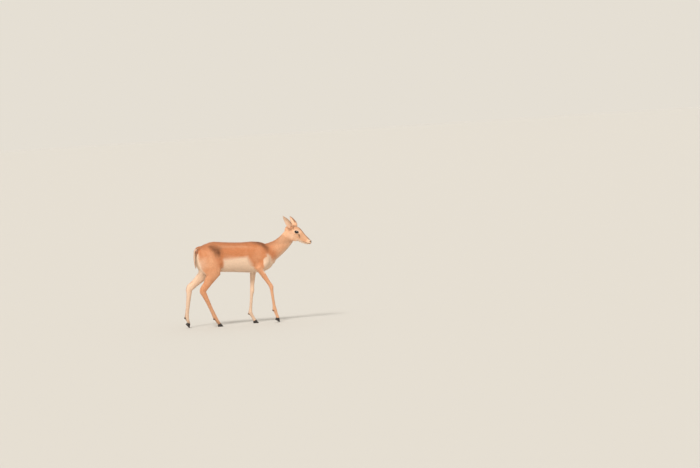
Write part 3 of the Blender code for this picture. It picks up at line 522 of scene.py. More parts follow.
        # The dark band along the nose ridge: partly the head's own brown hair, partly painted shade along the
        # top of the face.
        half = np.interp(ahead, *zip(*self.bridge_half))
        ridge_hair_and_shade = 0.62 + 0.10 * ramp(ahead, 0.125, 0.155)
        ridge_hair_and_shade = ridge_hair_and_shade * ramp(side + 0.0014 * jag, half + 0.0055, half - 0.0055)
        ridge_hair_and_shade = ridge_hair_and_shade * ramp(ahead, -0.012, 0.024) * ramp(up, 0.016, 0.024)
        brow = 0.20 * ramp(up, 0.034, 0.050) * ramp(ahead, 0.065, 0.040)
        crown = 0.85 * bell(self.crown.reach(ahead, side + 0.001 * jag), 1.0) * ramp(up, 0.043, 0.054)
        snout = 0.16 * ramp(ahead, 0.055, 0.085) * ramp(ahead, 0.140, 0.125) * ramp(up, 0.000, 0.010)
        sinew = 0.62 * bell(line_distance(h, (*GLAND, (0.081, 0.0285, 0.0135))), 0.0062)
        self.raise_to(masks, 1, head * np.maximum.reduce((ridge_hair_and_shade, brow, crown, snout, sinew)))

    def bare_face(self, skin: SurfaceMap, masks: Rows) -> None:
        """Adds the bare skin of the lids, the gland, the nose and the lips to the masks."""
        h = mirrored(skin.head)
        ahead, side, up = h.T
        eye, _ = eye_reach(skin.head)
        rim = ramp(eye, 1.25, 1.17)
        tear = ramp(line_distance(h, TEAR), 0.0022, 0.0012)
        taper = 0.0020 * (np.linalg.norm(h - np.array(GLAND[1]), axis=1) / 0.0075) ** 2
        gland = ramp(line_distance(h, GLAND) + taper, 0.0044, 0.0027)
        nose = ramp(side - np.interp(up, *zip(*self.nose_half)), 0.0009, -0.0004)
        nose = nose * ramp(up, 0.0085, 0.0100) * ramp(up, 0.0250, 0.0232) * ramp(ahead, 0.1605, 0.1625)
        nostril = ramp(line_distance(h, NOSTRIL) + 0.0011 * ramp(ahead, 0.1625, 0.1560), 0.0027, 0.0018)
        lips = ramp(line_distance(h, MOUTH), 0.0017, 0.0008) * ramp(ahead, 0.100, 0.106)
        lip_front = ramp(line_distance(h, MOUTH), 0.0034, 0.0020) * ramp(ahead, 0.156, 0.163)
        groove = ramp(side, 0.0017, 0.0008) * ramp(up, 0.0125, 0.0110) * ramp(ahead, 0.160, 0.163)
        bare = np.maximum.reduce((rim, tear, gland, nose, nostril, lips, 0.8 * lip_front, groove))
        self.raise_to(masks, 3, skin.on("head") * bare)

    def ears(self, skin: SurfaceMap, masks: Rows) -> None:
        """Adds the pale lining, the fawn back and the dark edge of the ears to the masks."""
        turn = np.array(HEAD_MATRIX.to_3x3())
        for side in Side:
            mine = skin.on(f"ear_{side.name.lower()}")
            face, way = np.array(EAR_FACES[side]), np.array(EAR_WAYS[side])
            way = way / np.linalg.norm(way)
            face = face - way * (face @ way)
            face = face / np.linalg.norm(face)
            out = skin.head - ear_base(side)
            along = out @ way
            deep = np.interp(along, *zip(*self.ear_hollow))
            middle = ear_base(side) + along[:, None] * way + deep[:, None] * face
            lining = ramp((skin.normals * (unit(middle - skin.head) @ turn.T)).sum(axis=1), 0.0, 0.45)
            inner = 0.85 * lining * ramp(along, 0.008, 0.020)
            outer = 0.38 * (1.0 - lining) * ramp(along, 0.013, 0.034)
            self.raise_to(masks, 0, mine * (inner + outer))
            self.raise_to(masks, 2, mine * 0.86)
            across = np.cross(way, face)
            across *= math.copysign(1.0, across[2])
            past = out @ across - np.interp(along, *zip(*self.ear_half))
            inset = 0.0058 - 0.0040 * lining
            edge = ramp(past, -inset - 0.0022, -inset + 0.0022) * ramp(along, 0.018, 0.050)
            tip = 0.55 * ramp(along, 0.098, 0.114) * (1.0 - lining)
            self.raise_to(masks, 1, mine * np.maximum(0.72 * edge, tip))
            masks[:, 0] *= 1.0 - 0.9 * mine * edge

    def claws(self, skin: SurfaceMap, masks: Rows) -> None:
        """Adds the dark hair round the small claws behind each fetlock to the masks."""
        for leg in LEGS:
            root = np.array(leg.fetlock) + leg.back() * 0.0145 + leg.down() * 0.010
            near = np.linalg.norm((skin.places - root) * (1.0, 0.75, 1.0), axis=1)
            self.raise_to(masks, 1, skin.on(leg.name) * 0.85 * ramp(near, 0.0125, 0.0085))


def vertex_places(mesh: Mesh) -> Rows:
    """The vertices of a mesh as rows."""
    flat = np.empty(len(mesh.vertices) * 3)
    mesh.vertices.foreach_get("co", flat)
    return flat.reshape(-1, 3)


def vertex_normals(mesh: Mesh) -> Rows:
    """The vertex normals of a mesh as rows."""
    flat = np.empty(len(mesh.vertices) * 3)
    mesh.vertex_normals.foreach_get("vector", flat)
    return flat.reshape(-1, 3)


def place_vertices(mesh: Mesh, places: Rows) -> None:
    """Moves the vertices of a mesh to new places."""
    mesh.vertices.foreach_set("co", places.ravel())
    mesh.update()


def triangle_count(mesh: Mesh) -> int:
    """How many triangles a mesh comes to."""
    return sum(len(face.vertices) - 2 for face in mesh.polygons)


def linked(name: str, data: bpy.types.ID) -> Piece:
    """Puts a mesh, a light or a camera into the scene as an object."""
    thing = bpy.data.objects.new(name, data)
    bpy.context.scene.collection.objects.link(thing)
    return thing


def formed(shape: bmesh.types.BMesh, name: str, smooth: bool = True) -> Mesh:
    """Turns a worked shape into a mesh, smoothly shaded unless it is to stay as it was, and frees the shape.

    Args:
        shape: The worked shape.
        name: The name of the mesh.
        smooth: Whether the faces are shaded smoothly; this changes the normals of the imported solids.

    Returns:
        The mesh.
    """
    if smooth:
        for face in shape.faces:
            face.smooth = True
    mesh = bpy.data.meshes.new(name)
    shape.to_mesh(mesh)
    shape.free()
    return mesh


def baked(thing: Piece, name: str) -> Piece:
    """Turns an object with modifiers into a plain mesh object and removes the first one.

    Args:
        thing: The object that carries the modifiers.
        name: The name of the plain object.

    Returns:
        The plain mesh object.
    """
    graph = bpy.context.evaluated_depsgraph_get()
    mesh = bpy.data.meshes.new_from_object(thing.evaluated_get(graph))
    bpy.data.objects.remove(thing)
    mesh.name = name
    return linked(name, mesh)


def nearest_nodes(places: Rows) -> Rows:
    """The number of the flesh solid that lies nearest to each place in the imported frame."""
    rows, owners = [], []
    for number, name in enumerate(FLESH_NODES):
        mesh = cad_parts[name].data
        mesh.calc_loop_triangles()
        points = vertex_places(mesh)
        corners = np.empty(len(mesh.loop_triangles) * 3, dtype=np.int64)
        mesh.loop_triangles.foreach_get("vertices", corners)
        rows.append(np.vstack((points, points[corners.reshape(-1, 3)].mean(axis=1))))
        owners.append(np.full(len(rows[-1]), number))
    points, owners = np.vstack(rows), np.concatenate(owners)
    tree = KDTree(len(points))
    for i, point in enumerate(points):
        tree.insert(point, i)
    tree.balance()
    return np.array([owners[tree.find(place)[1]] for place in places])


@dataclass
class Skin:
    """The one skin that stands for every solid of flesh."""

    voxel: float = 0.0012
    quick_voxel: float = 0.0022
    overlap: float = 0.0005
    triangles: int = 136000
    body_rounds: int = 110
    weight_rounds: int = 12
    push_out: float = 0.60
    push_in: float = -0.62
    coat_depth: float = 0.0014
    short_hair: float = 0.25
    looseness: tuple = (("head", 0.35), ("ear_left", 0.10), ("ear_right", 0.10), ("tail", 0.35))
    extra_smooth: tuple = (
        (0.440, -0.03, 0.597, 0.040), (0.470, -0.01, 0.592, 0.030),
        (-0.252, 0.0, 0.580, 0.026), (0.335, 0.0, 0.465, 0.035),
        (*head_point(0.161, 0.011, 0.0205), 0.010), (*head_point(0.161, -0.011, 0.0205), 0.010),
    )

    def build(self) -> Piece:
        """Joins copies of the flesh solids into one closed skin and smooths it.

        Returns:
            The skin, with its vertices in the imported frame.
        """
        shell = bmesh.new()
        for name in FLESH_NODES:
            solid = bmesh.new()
            solid.from_mesh(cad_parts[name].data)
            bmesh.ops.remove_doubles(solid, verts=solid.verts[:], dist=SAME_PLACE)
            copy = formed(solid, "copy", smooth=False)
            place_vertices(copy, vertex_places(copy) + self.overlap * vertex_normals(copy))
            shell.from_mesh(copy)
            bpy.data.meshes.remove(copy)
        raw = linked("shell", formed(shell, "shell", smooth=False))
        remesh = raw.modifiers.new("Remesh", "REMESH")
        remesh.mode = "VOXEL"
        remesh.voxel_size = self.voxel
        whole = baked(raw, "skin")
        log.info("skin remeshed: %d vertices", len(whole.data.vertices))
        self.smooth(whole.data)
        return self.thin(whole)

    def smooth(self, mesh: Mesh) -> None:
        """Takes the flat facets and the seams between the solids out of the skin."""
        places = vertex_places(mesh)
        edges = np.empty(len(mesh.edges) * 2, dtype=np.int64)
        mesh.edges.foreach_get("vertices", edges)
        first, second = edges.reshape(-1, 2).T
        size = len(places)

        def gathered(values: Rows) -> Rows:
            """The sum of the neighbours' values at each vertex."""
            return np.bincount(first, values[second], size) + np.bincount(second, values[first], size)

        loose = dict(self.looseness)
        weight = np.array([loose.get(name, 1.0) for name in FLESH_NODES])[nearest_nodes(places)]
        for x, y, z, reach in self.extra_smooth:
            away = np.linalg.norm(places - OFFSET - np.array((x, y, z)), axis=1)
            weight = np.maximum(weight, ramp(away, reach, 0.5 * reach))
        count = np.maximum(np.bincount(first, minlength=size) + np.bincount(second, minlength=size), 1)
        for _ in range(self.weight_rounds):
            weight = 0.5 * weight + 0.5 * gathered(weight) / count
        for _ in range(self.body_rounds):
            for push in (self.push_out, self.push_in):
                pull = np.stack([gathered(places[:, axis]) / count for axis in range(3)], axis=1) - places
                places += push * weight[:, None] * pull
        place_vertices(mesh, places)

    def thin(self, whole: Piece) -> Piece:
        """Brings the skin under its count of triangles, with the head kept finest."""
        head = into_head(vertex_places(whole.data) - OFFSET)
        levels = np.round(np.clip((-0.02 - head[:, 0]) / 0.08, 0.0, 1.0) * 10)
        group = whole.vertex_groups.new(name="plain")
        for level in range(11):
            chosen = np.nonzero(levels == level)[0]
            if len(chosen):
                group.add(chosen.tolist(), 0.1 + 0.09 * level, "REPLACE")
        faces = triangle_count(whole.data)
        if faces > self.triangles:
            cut = whole.modifiers.new("Decimate", "DECIMATE")
            cut.ratio = self.triangles / faces
            cut.vertex_group = "plain"
            cut.vertex_group_factor = 1.0
        skin = baked(whole, "skin")
        skin.data.polygons.foreach_set("use_smooth", [True] * len(skin.data.polygons))
        log.info("skin thinned: %d triangles", triangle_count(skin.data))
        return skin

    def settle(self, mesh: Mesh) -> None:
        """Moves the skin inwards by the depth of the coat."""
        hair = np.empty(len(mesh.vertices), dtype=np.float32)
        mesh.attributes["hair"].data.foreach_get("value", hair)
        depth = self.overlap + self.coat_depth * np.clip(hair - self.short_hair, 0.0, 1.0)
        place_vertices(mesh, vertex_places(mesh) - vertex_normals(mesh) * depth[:, None])

    @staticmethod
    def unwrap(skin: Piece) -> None:
        """Stores an unwrap of the skin's own shape on it, for the roots of the tufts."""
        bpy.context.view_layer.objects.active = skin
        skin.select_set(True)
        bpy.ops.object.mode_set(mode="EDIT")
        bpy.ops.mesh.select_all(action="SELECT")
        bpy.ops.uv.smart_project(angle_limit=math.radians(66), island_margin=0.001)
        bpy.ops.object.mode_set(mode="OBJECT")
        skin.select_set(False)
        mesh = skin.data
        flat = np.empty(len(mesh.loops) * 2)
        mesh.uv_layers.active.uv.foreach_get("vector", flat)
        rows = np.zeros((len(mesh.loops), 3), dtype=np.float32)
        rows[:, :2] = flat.reshape(-1, 2)
        mesh.attributes.new("unwrap", "FLOAT_VECTOR", "CORNER").data.foreach_set("vector", rows.ravel())


@dataclass(frozen=True)
class Furrow:
    """A groove along a line on the head, on both sides, with raised edges beside it."""

    line: tuple
    depth: float
    width: float
    edge: float
    edge_at: float

    def push(self, head: Rows) -> Rows:
        """How far each place moves outwards.

        Args:
            head: Places in the head's own frame, mirrored to one side.

        Returns:
            One move for each place, below zero in the groove.
        """
        away = line_distance(head, self.line)
        raised = self.edge * bell(away - self.edge_at, 0.45 * self.edge_at)
        return raised - self.depth * bell(away, self.width)


@dataclass
class Face:
    """The folds, lids, lips and nostrils that the skin adds to the head."""

    furrows: tuple[Furrow, ...] = (
        Furrow(MOUTH, 0.0017, 0.0010, 0.0005, 0.0026),
        Furrow(NOSTRIL[:3], 0.0022, 0.0017, 0.0005, 0.0038),
        Furrow(NOSTRIL, 0.0014, 0.0012, 0.0005, 0.0032),
        Furrow(GLAND, 0.0022, 0.0016, 0.0007, 0.0040),
        Furrow(((0.1685, 0.0, 0.0140), (0.1665, 0.0, 0.0030)), 0.0008, 0.0009, 0.0003, 0.0026),
        Furrow(((0.0570, 0.0325, 0.0420), (0.0600, 0.0318, 0.0405)), 0.0010, 0.0010, 0.0002, 0.0024),
    )
    fine_eye: float = 2.0
    fine_mouth: float = 0.0055
    fine_gland: float = 0.007
    fine_nose: float = 0.146

    def refine(self, mesh: Mesh) -> None:
        """Splits the faces of the lids, lips, gland and nose, so that they can hold fine forms."""
        head = into_head(vertex_places(mesh) - OFFSET)
        flat = mirrored(head)
        fine = (eye_reach(head)[0] < self.fine_eye) | (line_distance(flat, MOUTH) < self.fine_mouth)
        fine |= (line_distance(flat, GLAND) < self.fine_gland) | (flat[:, 0] > self.fine_nose)
        shape = bmesh.new()
        shape.from_mesh(mesh)
        edges = [edge for edge in shape.edges if all(fine[vert.index] for vert in edge.verts)]
        bmesh.ops.subdivide_edges(shape, edges=edges, cuts=1, use_grid_fill=True)
        bmesh.ops.triangulate(shape, faces=[face for face in shape.faces if len(face.verts) > 4])
        for face in shape.faces:
            face.smooth = True
        shape.to_mesh(mesh)
        shape.free()
        log.info("face refined: %d edges split", len(edges))

    def carve(self, mesh: Mesh) -> None:
        """Carves the folds into the skin along its normals."""
        places, normals = vertex_places(mesh), vertex_normals(mesh)
        head = into_head(places - OFFSET)
        near = ramp(head[:, 0], -0.01, 0.02) * ramp(head[:, 0], 0.30, 0.25)
        flat = mirrored(head)
        move = sum(furrow.push(flat) for furrow in self.furrows)
        eye, up = eye_reach(head)
        upper, lower = ramp(up, 0.0, 0.004), ramp(up, 0.0, -0.004)
        move = move - upper * (0.0011 * bell(eye - 1.52, 0.11) - 0.0005 * bell(eye - 1.78, 0.16))
        move = move - lower * (0.0007 * bell(eye - 1.50, 0.11) - 0.0003 * bell(eye - 1.75, 0.16))
        move = move + 0.0003 * bell(eye - 1.18, 0.10)
        place_vertices(mesh, places + normals * (near * move)[:, None])


@dataclass
class CoatFlow:
    """Which way the hair lies, how long it is and which part of the coat it belongs to."""

    bones: list[Bone] = field(default_factory=body_bones)
    fade: float = -3.0
    stretch: float = 0.11
    cannon_hair: float = 0.50
    upper_leg_hair: float = 0.70
    ear_hair: float = 0.40
    bare_from: float = 0.25
    lid_edge: float = 1.34
    haunch_from: float = -0.02

    def record(self, mesh: Mesh) -> None:
        """Stores the flow, the length, the grain and the marks and painted shade of the coat on the skin.

        Args:
            mesh: The skin's mesh, which gets one attribute for each.
        """
        places = vertex_places(mesh) - OFFSET
        surface = SurfaceMap(places, vertex_normals(mesh), nearest_nodes(places + OFFSET))
        weights, flow, grain = 0.0, np.zeros_like(places), np.zeros_like(places)
        for bone in self.bones:
            pull = bone.distance(places) ** self.fade
            along = bone.along()
            across = np.cross(along, (0.0, 1.0, 0.0) if abs(along[1]) < 0.8 else (1.0, 0.0, 0.0))
            across /= np.linalg.norm(across)
            local = places - np.array(bone.start)
            ways = (local @ across, local @ np.cross(along, across), self.stretch * (local @ along))
            flow += pull[:, None] * bone.flow()
            grain += pull[:, None] * np.stack(ways, axis=1)
            weights = weights + pull
        flow, grain = flow / weights[:, None], grain / weights[:, None]
        flow -= (flow * surface.normals).sum(axis=1, keepdims=True) * surface.normals
        marks = MarksAndShade().paint(surface)
        length = self.lengths(surface)
        eye, _ = eye_reach(surface.head)
        density = np.clip(1.0 / length, 1.0, 2.0) * (marks[:, 3] < self.bare_from) * (eye > self.lid_edge)
        for name, kind, slot, rows in (
            ("lie", "FLOAT_VECTOR", "vector", unit(flow)), ("grain", "FLOAT_VECTOR", "vector", grain),
            ("marks_and_shade", "FLOAT_COLOR", "color", marks), ("hair", "FLOAT", "value", length),
            ("thick", "FLOAT", "value", density), ("part", "FLOAT", "value", self.parts(surface)),
        ):
            layer = mesh.attributes.new(name, kind, "POINT")
            layer.data.foreach_set(slot, np.ascontiguousarray(rows, dtype=np.float32).ravel())

    def lengths(self, surface: SurfaceMap) -> Rows:
        """The share of the full hair length at each point."""
        h = surface.head
        cannons = [name for name in FLESH_NODES if name.endswith("cannon")]
        uppers = [name for name in FLESH_NODES if name.endswith(("forearm", "gaskin"))]
        length = np.ones(len(h))
        for names, share in (
            (["head"], 0.30 + 0.45 * ramp(h[:, 0], 0.09, -0.03)),
            (["ear"], self.ear_hair),
            (["tail"], 0.95 + 0.75 * ramp(surface.places[:, 2], 0.50, 0.44)),
            (cannons, self.cannon_hair),
            (uppers, self.upper_leg_hair),
        ):
            length = np.where(surface.on(*names) > 0, share, length)
        eye, _ = eye_reach(h)
        length = length * (0.45 + 0.55 * ramp(eye, 1.3, 2.4))
        return length * (0.50 + 0.50 * ramp(h[:, 0], 0.175, 0.140))

    def parts(self, surface: SurfaceMap) -> Rows:
        """The number of the coat part that each point belongs to."""
        left = surface.places[:, 1] > 0
        haunch = (surface.on("torso", "tail") > 0) & (surface.places[:, 0] < self.haunch_from)
        part = np.where(left, CoatPart.TRUNK_LEFT.value, CoatPart.TRUNK_RIGHT.value).astype(float)
        part = np.where(haunch, np.where(left, CoatPart.HAUNCH_LEFT.value, CoatPart.HAUNCH_RIGHT.value), part)
        for names, own in (
            (("neck",), CoatPart.NECK), (("head", "ear"), CoatPart.HEAD),
            (("foreleg",), CoatPart.FORELEGS), (("hindleg",), CoatPart.HINDLEGS),
        ):
            part = np.where(surface.on(*names) > 0, own.value, part)
        return part


class Nodes:
    """A thin helper that adds and joins nodes in one tree."""

    def __init__(self, tree: Tree) -> None:
        """Keeps the tree that the nodes go into."""
        self.tree = tree

    def add(self, kind: str, **values: object) -> bpy.types.Node:
        """Adds a node and sets its properties."""
        node = self.tree.nodes.new(kind)
        for key, value in values.items():
            setattr(node, key, value)
        return node

    def fill(self, inputs: Sockets, feeds: dict[object, object]) -> None:
        """Links outputs to inputs, or sets inputs to plain values.

        Args:
            inputs: The inputs of a node.
            feeds: An output or a plain value for each named or numbered input.
        """
        for key, source in feeds.items():
            if isinstance(source, Socket):
                self.tree.links.new(source, inputs[key])
            else:
                inputs[key].default_value = source

    def made(self, kind: str, feeds: dict[object, object], out: object = 0, **values: object) -> Socket:
        """Adds a node, fills its inputs and gives one of its outputs.

        Args:
            kind: Blender's name for the node.
            feeds: An output or a plain value for each named or numbered input.
            out: The name or number of the output.
            values: The node's properties by name.

        Returns:
            The output.
        """
        node = self.add(kind, **values)
        self.fill(node.inputs, feeds)
        return node.outputs[out]

    def maths(self, operation: str, first: object, second: object = 0.0, third: object = 0.0) -> Socket:
        """The result of one operation on numbers."""
        return self.made("ShaderNodeMath", {0: first, 1: second, 2: third}, operation=operation)

    def vectors(self, operation: str, first: object, second: object) -> Socket:
        """The result of one operation on two vectors; a dot product is a number."""
        out = "Value" if operation == "DOT_PRODUCT" else 0
        return self.made("ShaderNodeVectorMath", {0: first, 1: second}, out, operation=operation)

    def scaled(self, vector: object, scale: object) -> Socket:
        """A vector times a number."""
        return self.made("ShaderNodeVectorMath", {0: vector, "Scale": scale}, operation="SCALE")

    def mixed(self, share: object, first: object, second: object, blend: str = "MIX") -> Socket:
        """A blend of two colours."""
        feeds = {0: share, 6: first, 7: second}
        return self.made("ShaderNodeMix", feeds, 2, data_type="RGBA", blend_type=blend)

    def ranged(
        self, value: object, low: float, high: float, to_low: float = 0.0, to_high: float = 1.0,
    ) -> Socket:
        """A number carried smoothly from one range to another."""
        feeds = dict(enumerate((value, low, high, to_low, to_high)))
        return self.made("ShaderNodeMapRange", feeds, interpolation_type="SMOOTHSTEP")

    def noise(self, place: Socket, scale: object, detail: float) -> Socket:
        """A noise over places, from 0 to 1."""
        return self.made("ShaderNodeTexNoise", {"Vector": place, "Scale": scale, "Detail": detail})

    def bump(self, height: Socket, strength: float, distance: float) -> Socket:
        """The normals of a surface roughened by a height."""
        return self.made("ShaderNodeBump", {"Strength": strength, "Distance": distance, "Height": height})

    def joined(self, x: object, y: object, z: object = 0.0) -> Socket:
        """A vector from three numbers."""
        return self.made("ShaderNodeCombineXYZ", {0: x, 1: y, 2: z})

    def read(self, name: str, kind: str = "FLOAT") -> Socket:
        """The value of a named attribute of the geometry."""
        feeds = {"Name": name}
        return self.made("GeometryNodeInputNamedAttribute", feeds, "Attribute", data_type=kind)

    def stored(self, geometry: Socket, name: str, kind: str, value: Socket, domain: str = "POINT") -> Socket:
        """The geometry with a value stored on it as a named attribute."""
        feeds = {"Geometry": geometry, "Name": name, "Value": value}
        return self.made("GeometryNodeStoreNamedAttribute", feeds, data_type=kind, domain=domain)


def new_group(name: str, kind: str, inputs: dict[str, tuple[str, object]], output: tuple[str, str]) -> Tree:
    """Makes a node group with named inputs and one named output.

    Args:
        name: The name of the group.
        kind: The kind of node tree.
        inputs: The kind and first value of each input.
        output: The name and the kind of the output.

    Returns:
        The node group, with no nodes in it.
    """
    tree = bpy.data.node_groups.new(name, kind)
    for title, (form, value) in inputs.items():
        socket = tree.interface.new_socket(name=title, in_out="INPUT", socket_type=form)
        if value is not None:
            socket.default_value = value
    tree.interface.new_socket(name=output[0], in_out="OUTPUT", socket_type=output[1])
    return tree


def srgb(red: int, green: int, blue: int) -> tuple[float, float, float, float]:
    """A colour given in display values, as the shader's linear values."""
    shares = (value / 255 for value in (red, green, blue))
    linear = tuple(c / 12.92 if c <= 0.04045 else ((c + 0.055) / 1.055) ** 2.4 for c in shares)
    return linear + (1.0,)


def new_finish(name: str) -> tuple[Material, Nodes, Sockets]:
    """A new material, the builder of its nodes and the inputs of its shader."""
    material = bpy.data.materials.new(name)
    material.use_nodes = True
    tree = material.node_tree
    return material, Nodes(tree), tree.nodes["Principled BSDF"].inputs


@dataclass(frozen=True)
class CoatColours:
    """The hair's own colours."""

    tan: tuple = srgb(208, 134, 88)
    cream: tuple = srgb(236, 184, 146)
    white: tuple = srgb(240, 210, 184)
    # The dark brown of the hair, also used for painted shade and shadow.
    brown: tuple = srgb(88, 46, 24)
    bare: tuple = srgb(24, 17, 16)


def hair_group() -> Tree:
    """The node group that turns the grain of the coat into fine strands.

    Returns:
        A group with the inputs Grain, Fineness and Contrast and the output Strand.
    """
    inputs = {
        "Grain": ("NodeSocketVector", None), "Fineness": ("NodeSocketFloat", 700.0),
        "Contrast": ("NodeSocketFloat", 1.0),
    }
    kit = Nodes(new_group("hair_strands", "ShaderNodeTree", inputs, ("Strand", "NodeSocketFloat")))
    inside, outside = kit.add("NodeGroupInput").outputs, kit.add("NodeGroupOutput").inputs
    spread = kit.ranged(kit.noise(inside["Grain"], inside["Fineness"], 2.0), 0.28, 0.72)
    centred = kit.maths("SUBTRACT", spread, 0.5)
    kit.fill(outside, {"Strand": kit.maths("MULTIPLY_ADD", centred, inside["Contrast"], 0.5)})
    return kit.tree


def colour_group() -> Tree:
    """The node group that turns the four masks into the coat's colour.

    Returns:
        A group with the masks, the strand value and the colours in, and Colour out.
    """
    colours = CoatColours()
    inputs = {
        "Masks": ("NodeSocketColor", None), "Bare": ("NodeSocketFloat", 0.0),
        "Strand": ("NodeSocketFloat", 0.5), "Tan": ("NodeSocketColor", colours.tan),
        "Cream": ("NodeSocketColor", colours.cream), "White": ("NodeSocketColor", colours.white),
        "Brown": ("NodeSocketColor", colours.brown), "Skin": ("NodeSocketColor", colours.bare),
    }
    kit = Nodes(new_group("coat_colour", "ShaderNodeTree", inputs, ("Colour", "NodeSocketColor")))
    inside, outside = kit.add("NodeGroupInput").outputs, kit.add("NodeGroupOutput").inputs
    parts = kit.add("ShaderNodeSeparateColor")
    kit.fill(parts.inputs, {0: inside["Masks"]})
    white, dark, pale = parts.outputs
    mottle = kit.noise(kit.made("ShaderNodeTexCoord", {}, "Object"), 34.0, 3.0)
    drift = kit.ranged(mottle, 0.3, 0.7, -0.10, 0.10)
    body = kit.mixed(kit.maths("ADD", pale, drift), inside["Tan"], inside["Cream"])
    body = kit.mixed(white, body, inside["White"])
    # The brown mask also carries painted shade and shadow.
    brown = kit.maths("ADD", dark, kit.maths("MULTIPLY", drift, dark))
    body = kit.mixed(brown, body, inside["Brown"])
    shade = kit.ranged(inside["Strand"], 0.0, 1.0, 0.86, 1.10)
    grey = kit.made("ShaderNodeCombineColor", {0: shade, 1: shade, 2: shade})
    body = kit.mixed(1.0, body, grey, "MULTIPLY")
    kit.fill(outside, {"Colour": kit.mixed(inside["Bare"], body, inside["Skin"])})
    return kit.tree


@dataclass(frozen=True)
class HairFinish:
    """The finish of the skin or of the tufts over it."""

    name: str
    fineness: float
    contrast: float
    bump: float
    hair_roughness: float
    bare_roughness: float
    strands: Tree
    colours: Tree

    def make(self) -> Material:
        """Builds the material."""
        material, kit, shader = new_finish(self.name)
        masks = kit.add("ShaderNodeAttribute", attribute_name="marks_and_shade").outputs
        grain = kit.made("ShaderNodeAttribute", {}, "Vector", attribute_name="grain")
        feeds = {"Fineness": self.fineness, "Contrast": self.contrast, "Grain": grain}
        strand = kit.made("ShaderNodeGroup", feeds, "Strand", node_tree=self.strands)
        feeds = {"Masks": masks["Color"], "Bare": masks["Alpha"], "Strand": strand}
        kit.fill(shader, {
            "Base Color": kit.made("ShaderNodeGroup", feeds, "Colour", node_tree=self.colours),
            "Roughness": kit.ranged(masks["Alpha"], 0.2, 0.8, self.hair_roughness, self.bare_roughness),
            "Normal": kit.bump(strand, self.bump, 0.0006),
            "Specular IOR Level": 0.30,
            "Sheen Weight": 0.12,
            "Sheen Roughness": 0.5,
        })
        return material


@dataclass(frozen=True)
class EyeFinish:
    """A wet, near-black eye with a level pupil, centred on one eyeball."""

    side: Side
    pupil_size: tuple = (0.0052, 0.0030)
    iris_size: tuple = (0.0098, 0.0088)

    def make(self) -> Material:
        """Builds the material."""
        material, kit, shader = new_finish(f"wet_eye_{self.side.name.lower()}")
        middle = np.array(eye_middle(self.side)) + OFFSET
        place = kit.made("ShaderNodeTexCoord", {}, "Object")
        local = kit.vectors("SUBTRACT", place, tuple(middle))
        along = kit.vectors("DOT_PRODUCT", local, head_way(*EYE_LINE))
        up = kit.vectors("DOT_PRODUCT", local, head_way(*EYE_UP))
        pupil = kit.ranged(self.reach(kit, along, up, *self.pupil_size), 0.92, 1.08)
        iris = kit.ranged(self.reach(kit, along, up, *self.iris_size), 0.94, 1.06)
        fibres = kit.ranged(kit.noise(local, 900.0, 2.0), 0.3, 0.7)
        brown = kit.mixed(fibres, srgb(44, 25, 14), srgb(24, 13, 9))
        kit.fill(shader, {
            "Base Color": kit.mixed(iris, kit.mixed(pupil, srgb(5, 5, 8), brown), srgb(20, 13, 11)),
            "Roughness": 0.10,
            "Specular IOR Level": 0.25,
            "Coat Weight": 1.0,
            "Coat Roughness": 0.02,
        })
        return material

    @staticmethod
    def reach(kit: Nodes, along: Socket, up: Socket, long: float, tall: float) -> Socket:
        """How far a point is from the middle of an ellipse, 1 on its edge."""
        first = kit.maths("POWER", kit.maths("DIVIDE", along, long), 2.0)
        second = kit.maths("POWER", kit.maths("DIVIDE", up, tall), 2.0)
        return kit.maths("SQRT", kit.maths("ADD", first, second))


def eye_middle(side: Side) -> Point:
    """The middle of an eyeball in the maker's frame."""
    return head_point(EYE_CENTRE[0], EYE_CENTRE[1] * side.value, EYE_CENTRE[2])


@dataclass(frozen=True)
class Eye:
    """One eyeball with a bulging cornea, set behind the lids."""

    side: Side
    radius: float = EYE_RADIUS - 0.0001
    cornea: float = 0.0010
    cornea_spread: float = 0.34
    look: Point = (0.34, 0.93, 0.10)
    segments: tuple[int, int] = (64, 40)

    def build(self) -> Piece:
        """Makes the eyeball in its place in the head."""
        axis = np.array(self.look) * (1, self.side.value, 1)
        axis /= np.linalg.norm(axis)
        ball = bmesh.new()
        around, rows = self.segments
        bmesh.ops.create_uvsphere(ball, u_segments=around, v_segments=rows, radius=1.0)
        turn = Vector((0, 0, 1)).rotation_difference(Vector(axis)).to_matrix()
        for vert in ball.verts:
            way = turn @ vert.co
            spread = math.acos(max(-1.0, min(1.0, way @ Vector(axis))))
            reach = self.radius + self.cornea * math.exp(-((spread / self.cornea_spread) ** 2))
            place = Vector((EYE_CENTRE[0], EYE_CENTRE[1] * self.side.value, EYE_CENTRE[2])) + way * reach
            vert.co = HEAD_MATRIX @ place + Vector(OFFSET)
        name = f"eye_{self.side.name.lower()}_ball"
        eye = linked(name, formed(ball, name))
        eye.data.materials.append(EyeFinish(self.side).make())
        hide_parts(f"eye_{self.side.name.lower()}")
        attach(eye, BODY)
        return eye


@dataclass(frozen=True)
class HoofFinish:
    """Dark horn with fine growth lines and dusty wear."""

    name: str = "dark_hoof_horn"
    stretch: Point = (60.0, 60.0, 620.0)

    def make(self) -> Material:
        """Builds the material."""
        material, kit, shader = new_finish(self.name)
        place = kit.made("ShaderNodeTexCoord", {}, "Object")
        rings = kit.noise(kit.made("ShaderNodeMapping", {"Vector": place, "Scale": self.stretch}), 1.0, 3.0)
        streak = kit.ranged(rings, 0.3, 0.7)
        kit.fill(shader, {
            "Base Color": kit.mixed(streak, srgb(26, 22, 22), srgb(58, 50, 46)),
            "Roughness": kit.ranged(rings, 0.3, 0.7, 0.38, 0.58),
            "Normal": kit.bump(streak, 0.35, 0.0004),
        })
        return material


